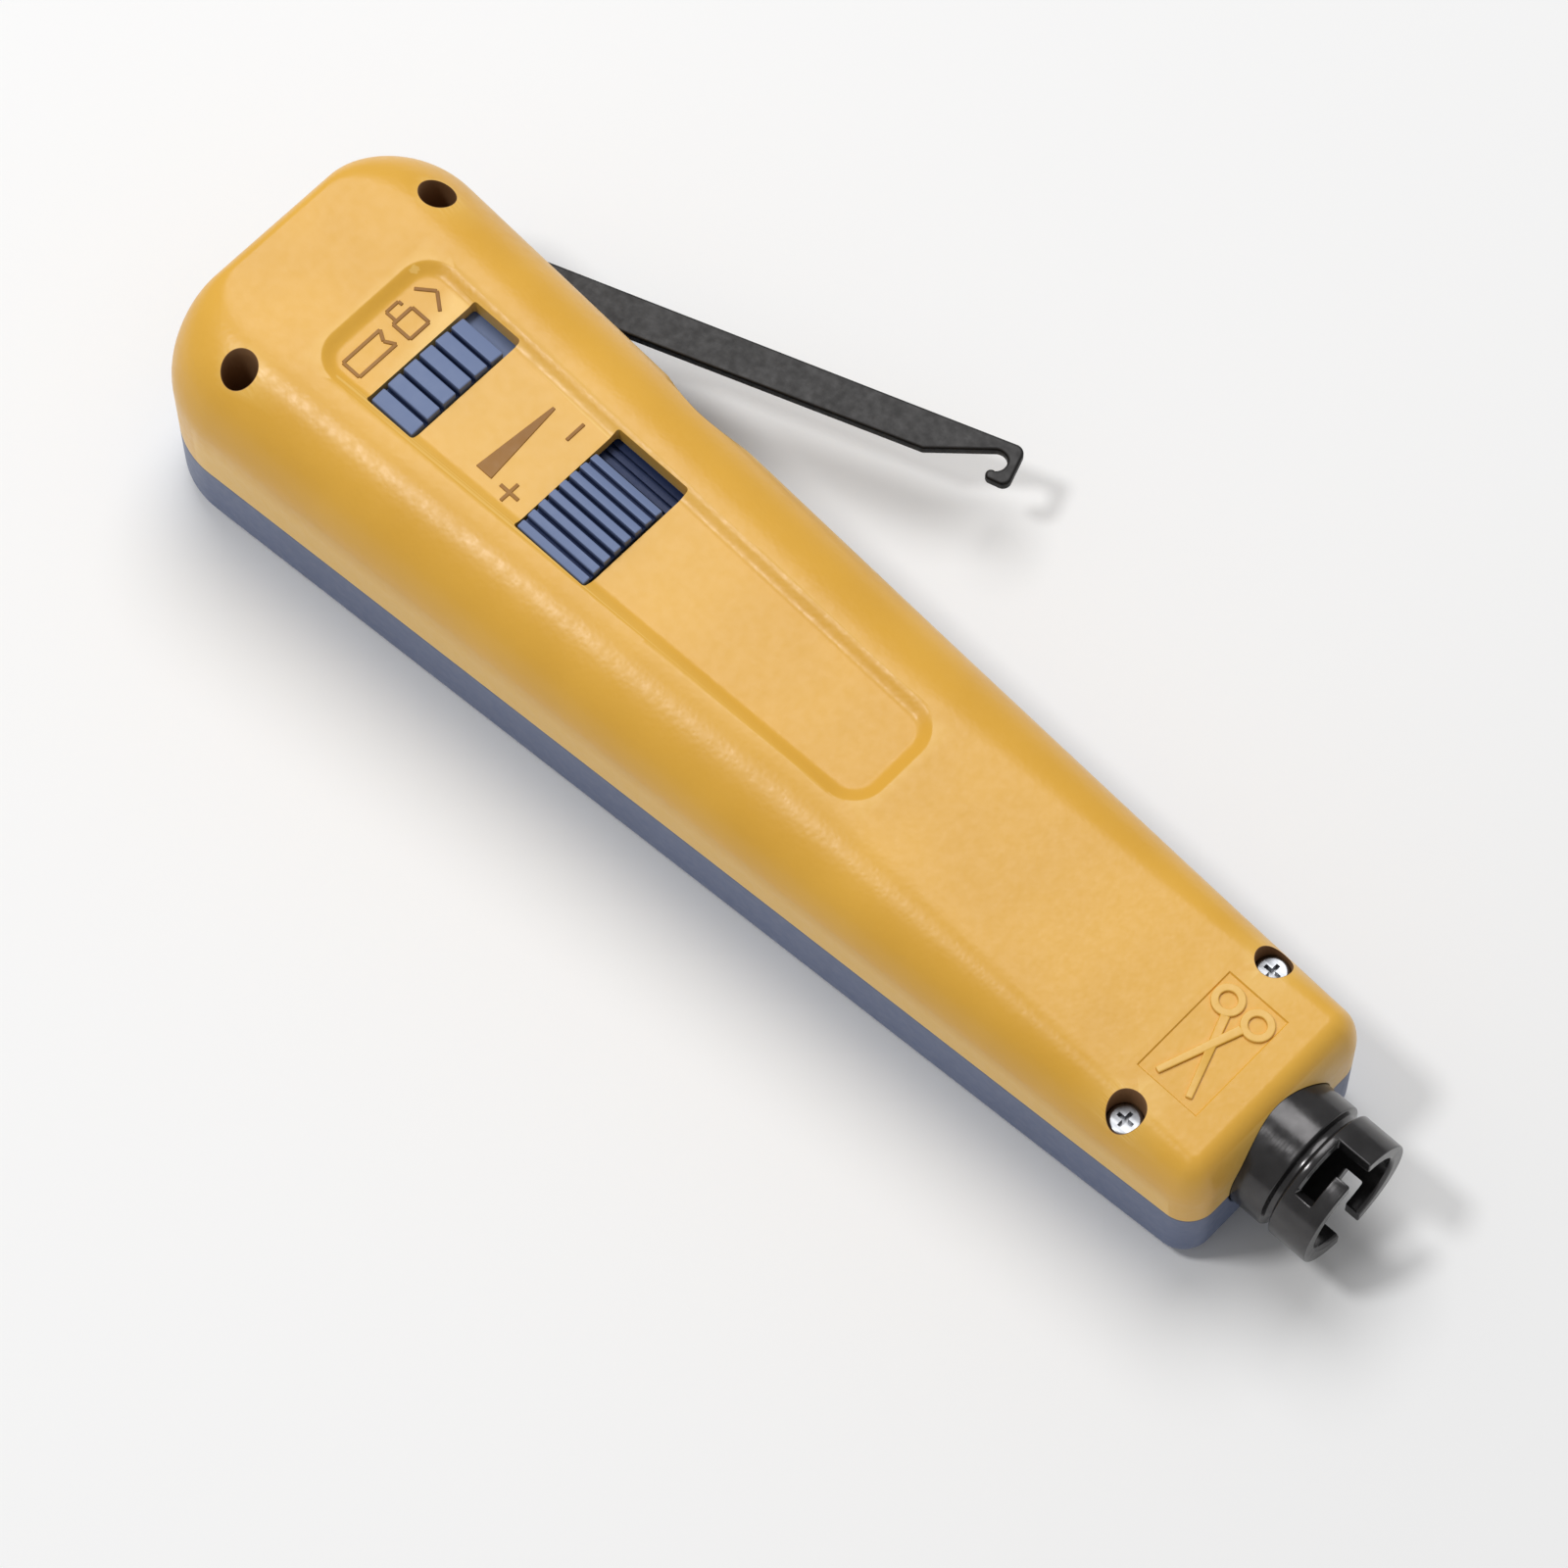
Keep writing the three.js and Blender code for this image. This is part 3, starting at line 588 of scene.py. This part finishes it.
def store_mouth():
    low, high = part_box("storage_tube")
    centre = middle((low, high))
    return drum("mouth", STORE_R, 6 * MM, (BUTT_X + 1.2 * MM, centre.y, centre.z), 64, ALONG_X)


def leave_bosses(cavity):
    """Takes the two butt bosses out of the cavity, so that they stand in the shell."""
    for box in BUTT_SCREWS:
        spot = middle(box)
        boolean(cavity, drum("boss", BOSS_R, 60 * MM, (spot.x, spot.y, SEAM_Z), 48))


SYMBOL_X0, SYMBOL_X1 = 128.5 * MM, 137.3 * MM
SYMBOL_HALF = 7.4 * MM
SYMBOL_SINK = 0.18 * MM


def symbol_bed():
    """The faint rectangle that the nose symbol stands in, with slanting walls."""
    tool = cube("bed", (SYMBOL_X0, -SYMBOL_HALF, -SYMBOL_SINK), (SYMBOL_X1, SYMBOL_HALF, SYMBOL_SINK * 3))
    centre_x = (SYMBOL_X0 + SYMBOL_X1) / 2
    for corner in tool.data.vertices:
        if corner.co.z < 0:
            corner.co.x -= math.copysign(0.6 * MM, corner.co.x - centre_x)
            corner.co.y -= math.copysign(0.6 * MM, corner.co.y)
    return lay_on_top(tool)


def faces_out(face, at):
    return abs(face.normal.z) < 0.9 and face.normal.x * at.x / 3.5 + face.normal.y * at.y > 0


def visible_rim(edge, at):
    """True for the sharp edges that show: the seam's outline, the panel and its windows."""
    if len(edge.link_faces) != 2 or edge.calc_face_angle() < math.radians(35):
        return False
    if at.z > top_at(at.x) - 2.3 * MM:
        return abs(at.y) < RECESS_HALF0 + MM and from_butt(14) < at.x < from_butt(92)
    if abs(at.z - SEAM_Z) > 0.01 * MM:
        return False
    if any((middle(box).xy - at.xy).length < (4.3 if box[0].x < 0 else 1.7) * MM for box in SCREWS):
        return False
    ends = at.x < BUTT_X + SEAM_BAND or at.x > NOSE_X - 1.5 * MM
    outer = ends or abs(at.y) > side_at(at.x) - SEAM_BAND
    return outer and any(faces_out(face, at) for face in edge.link_faces)


def soften_rims(piece, width):
    mesh = edit(piece, "EDGE")
    choose(piece, mesh, "edges", visible_rim)
    bpy.ops.mesh.bevel(offset=width, segments=3, affect="EDGES", clamp_overlap=True)
    object_mode()


def cut_wells(piece):
    for low, high in SCREWS:
        spot = middle((low, high))
        seat = high.z - SCREW_SEAT
        well = drum("well", WELL_R, 14 * MM, (spot.x, spot.y, seat + 7 * MM), 61)
        shank_centre = (spot.x, spot.y, (seat + SEAM_Z) / 2)
        shank = drum("shank_hole", SHANK_R + 0.2 * MM, seat - SEAM_Z + 2 * MM, shank_centre, 31)
        boolean(piece, boolean(well, shank, "UNION"))


def upper_housing():
    piece = crown_block("upper_housing", 0, 0, CROWN_SPREAD)
    cavity = crown_block("cavity", WALL, ROOF, CAVITY_SPREAD)
    boolean(cavity, cube("nose_end", (NOSE_BLOCK_X, -1, -1), (1, 1, 1)))
    for vertex in cavity.data.vertices:
        if vertex.co.z < SEAM_Z + 0.01 * MM:
            vertex.co.z -= MM
    leave_bosses(cavity)
    boolean(piece, cavity)
    boolean(piece, recess_cutter())
    boolean(piece, window_cutter(*RELEASE_WINDOW))
    boolean(piece, window_cutter(*LEVEL_WINDOW))
    boolean(piece, thumb_notch())
    tidy_mesh(piece, 0.004 * MM, dissolve=False)
    soften_rims(piece, 0.2 * MM)
    boolean(piece, store_mouth())
    boolean(piece, socket_bore())
    cut_wells(piece)
    boolean(piece, symbol_bed())
    tidy_mesh(piece, 0.001 * MM, dissolve=False)
    smooth(piece, 50)
    return finished(piece, "housing", HOUSING_YELLOW, "housing_yellow", "upper_shell")


def lower_housing():
    piece = tub_block("lower_housing", 0, LOWER_LOW.z)
    cavity = tub_block("cavity", WALL, FLOOR)
    boolean(cavity, cube("nose_end", (NOSE_BLOCK_X, -1, -1), (1, 1, 1)))
    leave_bosses(cavity)
    boolean(piece, cavity)
    boolean(piece, cube("slot", *HOOK_SLOT))
    for low, high in SCREWS:
        spot = middle((low, high))
        boolean(piece, drum("shank", SHANK_R + 0.05 * MM, 40 * MM, (spot.x, spot.y, low.z + 19.8 * MM), 32))
    boolean(piece, socket_bore())
    boolean(piece, store_mouth())
    boolean(piece, thumb_notch())
    tidy_mesh(piece)
    soften_edges(piece, 0.22 * MM)
    smooth(piece, 50)
    return finished(piece, "housing", HOUSING_SLATE, "housing_slate", "lower_shell")


# ---- buttons ----


def bar(name, low, high, edge, tilt=0.0):
    """A bar with rounded edges; tilt lifts its +Y top edge."""
    made = cube(name, low, high)
    for corner in made.data.vertices:
        if corner.co.z > (low[2] + high[2]) / 2 and corner.co.y > (low[1] + high[1]) / 2:
            corner.co.z += tilt
    edit(made, "EDGE")
    bpy.ops.mesh.select_all(action="SELECT")
    bpy.ops.mesh.bevel(offset=edge, segments=2, affect="EDGES")
    object_mode()
    return made


SLIDE_TOP, SLIDE_PLATE, SLIDE_EDGE = -2.9 * MM, 1.3 * MM, 0.12 * MM


def grip(piece, x0, x1, y0, y1, count, gap, crest, sag, edge, slope, groove):
    """Adds a row of slats on an arc, each with its -Y edge standing proud like a shingle."""
    def height(y):
        return crest - sag * ((y - (y0 + y1) / 2) / half) ** 2

    pitch = (y1 - y0 + gap) / count
    half = (y1 - y0) / 2
    for i in range(count):
        start = y0 + i * pitch
        end = start + pitch - gap
        low = (x0, start, SLIDE_TOP - 0.2 * MM)
        high = (x1, end, height(start))
        boolean(piece, bar("slat", low, high, edge, height(end) - height(start) - slope), "UNION")
    bed_low = (x0 + 0.03 * MM, y0 + 0.1 * MM, SLIDE_TOP - 0.2 * MM)
    bed_high = (x1 - 0.03 * MM, y1 - 0.1 * MM, crest - sag - groove)
    boolean(piece, bar("bed", bed_low, bed_high, 0.05 * MM), "UNION")


def slide_plate(name, x0, x1, y0, y1):
    return bar(name, (x0, y0, SLIDE_TOP - SLIDE_PLATE), (x1, y1, SLIDE_TOP), SLIDE_EDGE)


def release_button():
    piece = slide_plate("release_button", 20.5 * MM, 31.4 * MM, -10.5 * MM, 9 * MM)
    grip(piece, x0=23.1 * MM, x1=29 * MM, y0=-7.7 * MM, y1=5.8 * MM, count=6, gap=0.45 * MM,
         crest=0.1 * MM, sag=0.55 * MM, edge=0.2 * MM, slope=0.12 * MM, groove=0.9 * MM)
    smooth(lay_on_top(piece), 45)
    return finished(piece, "release", SLIDE_NAVY, "slide_navy", "release_slide")


def level_button():
    piece = slide_plate("level_button", 41.2 * MM, 55.2 * MM, -11 * MM, 8.6 * MM)
    tongue = slide_plate("tongue", 55 * MM, 63.6 * MM, -3.5 * MM, 6.5 * MM)
    boolean(piece, tongue, "UNION")
    grip(piece, x0=43.9 * MM, x1=53.4 * MM, y0=-7.5 * MM, y1=4.2 * MM, count=8, gap=0.5 * MM,
         crest=0.3 * MM, sag=0.7 * MM, edge=0.18 * MM, slope=0.1 * MM, groove=0.6 * MM)
    for y in (4.9, 5.9, 6.9):
        low = (43 * MM, (y - 0.2) * MM, SLIDE_TOP - 0.45 * MM)
        high = (54 * MM, (y + 0.2) * MM, SLIDE_TOP + MM)
        boolean(piece, cube("groove", low, high))
    smooth(lay_on_top(piece), 45)
    return finished(piece, "level", SLIDE_NAVY, "slide_navy", "level_slide")


# ---- nose ----


def ring_of(piece, x, radius):
    """Pulls the ring of points at x in to that radius."""
    for vertex in piece.data.vertices:
        if abs(vertex.co.x - x) < 0.01 * MM:
            out = Vector((0, vertex.co.y, vertex.co.z - AXIS_Z))
            vertex.co = Vector((x, 0, AXIS_Z)) + out.normalized() * radius


def bisect_x(piece, *places):
    for x in places:
        edit(piece)
        bpy.ops.mesh.select_all(action="SELECT")
        bpy.ops.mesh.bisect(plane_co=(x, 0, 0), plane_no=(1, 0, 0))
        object_mode()


def turned(piece, angle):
    """Turns a piece about the drive line."""
    centre = Vector((0, 0, AXIS_Z))
    piece.data.transform(
        Matrix.Translation(centre) @ Matrix.Rotation(angle, 4, "X") @ Matrix.Translation(-centre))
    return piece


LEG_TURN = 0.75                     # radians that a leg runs round the socket
LEG_WIDE = 2.2 * MM
ENTRY_HALF = 1.5 * MM
SOCKET_BORE, SOCKET_FLOOR_X = 5.7 * MM, from_butt(133)
MOUTH_EDGE = 0.3 * MM
STEM_HOLE_R = 3.03 * MM
GROOVE_X, GROOVE_DEPTH = from_butt(146.2), 0.8 * MM
GROOVE_FLOOR = (GROOVE_X + 0.25 * MM, GROOVE_X + 0.95 * MM)
GROOVE_END = GROOVE_X + 1.2 * MM


def bayonet_leg(start, x0, x1):
    """The part of an L-slot that runs on round the socket, from the angle start."""
    centre = ((x0 + x1) / 2, 0, AXIS_Z)
    leg = drum("leg", BARREL_R + MM, x1 - x0, centre, 96, ALONG_X)
    boolean(leg, drum("core", SOCKET_BORE - MM, x1 - x0 + MM, centre, 96, ALONG_X))
    far = 20 * MM
    before = cube("before", (x0 - MM, 0, AXIS_Z - far), (x1 + MM, far, AXIS_Z + far))
    beyond = cube("beyond", (x0 - MM, -far, AXIS_Z - far), (x1 + MM, 0, AXIS_Z + far))
    boolean(leg, turned(before, start))
    boolean(leg, turned(beyond, start + LEG_TURN))
    return leg


def blade_socket():
    x0, x1 = BARREL_LOW.x, BARREL_HIGH.x
    centre = Vector(((x0 + x1) / 2, 0, AXIS_Z))
    piece = drum("blade_socket", BARREL_R, x1 - x0, centre, 128, ALONG_X)
    bisect_x(piece, GROOVE_X, *GROOVE_FLOOR, GROOVE_END)
    for x in GROOVE_FLOOR:
        ring_of(piece, x, BARREL_R - GROOVE_DEPTH)
    mesh = edit(piece, "FACE")
    choose(piece, mesh, "faces", lambda face, at: at.x > x1 - 0.01 * MM)
    bpy.ops.mesh.inset(thickness=BARREL_R - SOCKET_BORE - MOUTH_EDGE)
    bpy.ops.mesh.inset(thickness=MOUTH_EDGE, depth=-MOUTH_EDGE)
    inwards = (SOCKET_FLOOR_X - x1 + MOUTH_EDGE, 0, 0)
    bpy.ops.mesh.extrude_region_move(TRANSFORM_OT_translate={"value": inwards})
    object_mode()
    boolean(piece, drum("stem_hole", STEM_HOLE_R, 12 * MM, (x0, 0, AXIS_Z), 64, ALONG_X))
    slot = GROOVE_X + 2 * MM
    for start in (0, math.pi):
        top = AXIS_Z + BARREL_R + 0.5 * MM
        entry = cube("entry", (slot, -ENTRY_HALF, AXIS_Z), (x1 + MM, ENTRY_HALF, top))
        boolean(piece, turned(entry, start))
        boolean(piece, bayonet_leg(start, slot, slot + LEG_WIDE))
    tidy_mesh(piece, 0.004 * MM)
    soften_edges(piece, 0.16 * MM, 3, 40)
    smooth(piece, 45)
    return finished(piece, "drive", BARREL_STEEL, "black_steel", "drive_barrel")


def hook_blade():
    """The flat hook, merged from its solid and given soft edges all round."""
    start_fresh()
    source = frame["nodes"]["wire_hook"]
    piece = bpy.data.objects.new("hook_blade", source.data.copy())
    bpy.context.collection.objects.link(piece)
    tidy_mesh(piece, 0.002 * MM)
    soften_edges(piece, 0.36 * MM, 4, 50)
    smooth(piece, 50)
    return finished(piece, "hook", HOOK_STEEL, "black_steel", "wire_hook")


HEAD_R, HEAD_THICK = 1.85 * MM, 1.15 * MM
CROSS_LONG, CROSS_NARROW, CROSS_DEPTH = 1.15 * MM, 0.27 * MM, 0.8 * MM


def case_screws():
    low, high = SCREWS[0]
    spot = middle((low, high))
    head = drum("cross_screw", HEAD_R, HEAD_THICK, (spot.x, spot.y, high.z - HEAD_THICK / 2), 64)
    mesh = edit(head, "FACE")
    choose(head, mesh, "faces", lambda face, at: at.z > high.z - 0.01 * MM)
    bpy.ops.mesh.bevel(offset=0.42 * MM, segments=6, affect="EDGES")
    object_mode()
    shank_centre = (spot.x, spot.y, (high.z - MM + low.z) / 2)
    shank = drum("shank", SHANK_R, high.z - MM - low.z, shank_centre, 40)
    boolean(head, shank, "UNION")
    for long_x, long_y in ((CROSS_LONG, CROSS_NARROW), (CROSS_NARROW, CROSS_LONG)):
        at = Vector((spot.x, spot.y, high.z))
        corner = Vector((long_x, long_y, CROSS_DEPTH))
        blade = cube("cross", at - corner, at + corner)
        for tip in blade.data.vertices:
            if tip.co.z < high.z:
                tip.co.xy = spot.xy + (tip.co.xy - spot.xy) * 0.7
        boolean(head, blade)
    tidy_mesh(head, 0.001 * MM)
    smooth(head, 45)
    for i, box in enumerate(SCREWS):
        piece = head.copy()
        piece.data = head.data.copy()
        piece.name = f"cross_screw_{i + 1}"
        bpy.context.collection.objects.link(piece)
        piece.data.transform(Matrix.Translation(middle(box) - spot))
        finished(piece, "housing", BRIGHT_STEEL, "bright_steel", f"case_screw_{i + 1}")
    bpy.data.objects.remove(head)


# ---- springs ----


def stretching(name, node, fixed, moving, start, end):
    """A spring as a piece copied from its solid, which stays where the solid was."""
    start_fresh()
    piece = bpy.data.objects.new(name, frame["nodes"][node].data.copy())
    bpy.context.collection.objects.link(piece)
    tidy_mesh(piece, 0.002 * MM)
    smooth(piece, 50)
    piece.data.materials.clear()
    piece.data.materials.append(SPRING_STEEL)
    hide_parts(node)
    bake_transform(piece)
    return piece


def ends_along(node, axis):
    """The middles of the two ends of a solid's box on that axis."""
    low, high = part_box(node)
    first, last = middle((low, high)), middle((low, high))
    first[axis], last[axis] = low[axis], high[axis]
    return first, last


def springs():
    stretching("return_coil", "return_spring", "housing", "drive", *ends_along("return_spring", 0))
    stretching("main_coil", "main_spring", "housing", "striker", *ends_along("main_spring", 0))
    stretching("seat_coil", "seat_spring", "drive", "blade_rest", *ends_along("seat_spring", 0))
    low, high = ends_along("release_spring", 1)
    stretching("release_coil", "release_spring", "housing", "release", high, low)
    low, high = ends_along("latch_leaf", 2)
    stretching("latch_strip", "latch_leaf", "striker", "latch", high, low)


# ---- symbols ----


def stroke(name, first, second, wide_first, wide_second, base, tall):
    """A bar from one point of the top face to another, which may taper."""
    first, second = Vector(first), Vector(second)
    along = (second - first).normalized()
    across = Vector((-along.y, along.x))
    start_fresh()
    bpy.ops.mesh.primitive_cube_add(size=1)
    made = bpy.context.object
    made.name = name
    for corner in made.data.vertices:
        end, wide = (second, wide_second) if corner.co.x > 0 else (first, wide_first)
        flat = end + across * wide * corner.co.y
        corner.co = (flat.x, flat.y, base + tall * (corner.co.z + 0.5))
    edit(made, "EDGE")
    bpy.ops.mesh.select_all(action="SELECT")
    bpy.ops.mesh.bevel(offset=min(tall, wide_first, wide_second) * 0.35, segments=3, affect="EDGES")
    object_mode()
    return made


def eyelet(name, centre, outer, inner, base, tall):
    made = drum(name, outer, tall, (centre[0], centre[1], base + tall / 2), 48)
    boolean(made, drum("hole", inner, tall * 3, (centre[0], centre[1], base), 40))
    soften_edges(made, tall * 0.3, 2)
    return made


def gather(name, parts, material):
    """Joins the strokes of a symbol into one piece on the top face."""
    whole = parts[0]
    for part in parts[1:]:
        boolean(whole, part, "UNION")
    whole.name = name
    smooth(lay_on_top(whole), 45)
    return finished(whole, "housing", material, "housing_yellow")


def nose_symbol():
    """A pair of scissors, points towards -Y, which marks the cutting side."""
    base, tall = -SYMBOL_SINK - 0.1 * MM, 0.44 * MM
    x = (SYMBOL_X0 + SYMBOL_X1) / 2
    parts = []
    for side in (1, -1):
        parts.append(eyelet("eyelet", (x + side * 1.95 * MM, 4.5 * MM), 1.8 * MM, 0.95 * MM, base, tall))
        parts.append(stroke("blade", (x + side * 1.1 * MM, 3.1 * MM), (x - side * 2.1 * MM, -6 * MM),
                            1.05 * MM, 0.75 * MM, base, tall * (0.96 + 0.04 * side)))
    return gather("nose_symbol", parts, HOUSING_YELLOW)


RECESS_FLOOR = -RECESS_DEPTH * (1 + math.cos(0.18 * math.pi)) / 2
MARK_BASE, MARK_TALL = RECESS_FLOOR - 0.1 * MM, 0.22 * MM
LINE = 0.42 * MM


def mark_strokes(points, width=LINE):
    return [stroke("line", (a[0] * MM, a[1] * MM), (b[0] * MM, b[1] * MM), width, width,
                   MARK_BASE, MARK_TALL * (1 + 0.02 * i))
            for i, (a, b) in enumerate(zip(points, points[1:]))]


def panel_marks():
    """Chevron, open padlock and blade for the release; minus, wedge and plus for the level."""
    gather("release_chevron", mark_strokes([(20.8, 4.7), (18.9, 6.2), (17, 4.7)]), MARK_SHADED_AMBER)
    lock = mark_strokes([(20.9, 3), (20.9, 0.2), (18.4, 0.2), (18.4, 3), (20.9, 3)])
    shackle = mark_strokes([(18.4, 0.7), (16.9, 0.7), (16.9, 2.5), (17.5, 2.5)], 0.38 * MM)
    gather("release_padlock", lock + shackle, MARK_SHADED_AMBER)
    tip = mark_strokes([(20.3, -1.2), (20.3, -6.6), (17.9, -6.6), (17.9, -1.2), (19.1, -1.9), (20.3, -1.2)])
    gather("release_blade", tip, MARK_SHADED_AMBER)
    gather("level_minus", mark_strokes([(40.6, 3.2), (40.6, 5.8)]), MARK_SHADED_AMBER)
    plus = mark_strokes([(40.6, -6.5), (40.6, -3.9)]) + mark_strokes([(39.3, -5.2), (41.9, -5.2)], 0.43 * MM)
    gather("level_plus", plus, MARK_SHADED_AMBER)
    wedge = stroke("wedge", (37.1 * MM, 5 * MM), (37.1 * MM, -5.4 * MM),
                   0.4 * MM, 2.2 * MM, MARK_BASE, MARK_TALL)
    gather("level_wedge", [wedge], MARK_SHADED_AMBER)


# ---- stage ----

CAMERA_AZIMUTH = math.radians(43.355)
CAMERA_HEIGHT = math.radians(64.251)
CAMERA_LENS, SENSOR = 137.93, 36                                    # millimetres
CAMERA_RIGHT, CAMERA_DOWN, CAMERA_BACK = 2.772, 9.765, 619.204      # millimetres
LIGHT_AIM = Vector((0, 0, 0.01))
SKY_STRENGTH = 0.32


def place_camera():
    a, e = CAMERA_AZIMUTH, CAMERA_HEIGHT
    right = Vector((math.cos(a), math.sin(a), 0))
    up = Vector((-math.sin(a) * math.sin(e), math.cos(a) * math.sin(e), math.cos(e)))
    back = Vector((math.sin(a) * math.cos(e), -math.cos(a) * math.cos(e), math.sin(e)))
    target = Vector((0, 0, 13 * MM))
    data = bpy.data.cameras.new("camera")
    data.lens = CAMERA_LENS
    data.sensor_width = SENSOR
    data.clip_start, data.clip_end = 0.01, 20
    camera = bpy.data.objects.new("camera", data)
    camera.location = (target + right * CAMERA_RIGHT * MM - up * CAMERA_DOWN * MM
                       + back * CAMERA_BACK * MM)
    camera.rotation_mode = "QUATERNION"
    camera.rotation_quaternion = (-back).to_track_quat("-Z", "Y")
    bpy.context.collection.objects.link(camera)
    bpy.context.scene.camera = camera


def soft_light(name, place, size, power):
    data = bpy.data.lights.new(name, "AREA")
    data.shape = "DISK"
    data.size = size
    data.energy = power
    light = bpy.data.objects.new(name, data)
    light.location = place
    light.rotation_mode = "QUATERNION"
    light.rotation_quaternion = (LIGHT_AIM - Vector(place)).to_track_quat("-Z", "Y")
    bpy.context.collection.objects.link(light)


def set_stage():
    floor = cube("floor", (-3, -3, -0.02), (3, 3, -0.0004))
    paper = Finish("floor_paper", 0.9, specular=0.1)
    paper.colour(paper.ramp(paper.noise(0.4, 2), (0.93, 0.93, 0.93), (0.95, 0.95, 0.95)))
    floor.data.materials.append(paper.material)
    world = bpy.data.worlds.new("studio")
    world.use_nodes = True
    world.node_tree.nodes["Background"].inputs["Color"].default_value = (1, 1, 1, 1)
    world.node_tree.nodes["Background"].inputs["Strength"].default_value = SKY_STRENGTH
    bpy.context.scene.world = world
    soft_light("overhead", (-0.3, 0.32, 0.9), size=0.7, power=5.0)
    soft_light("left_box", (-0.28, -0.33, 0.85), size=0.16, power=2.5)
    bpy.context.scene.view_settings.view_transform = "Standard"


finish_cad_nodes()
upper_housing()
lower_housing()
release_button()
level_button()
blade_socket()
hook_blade()
case_screws()
springs()
nose_symbol()
panel_marks()
set_stage()
place_camera()
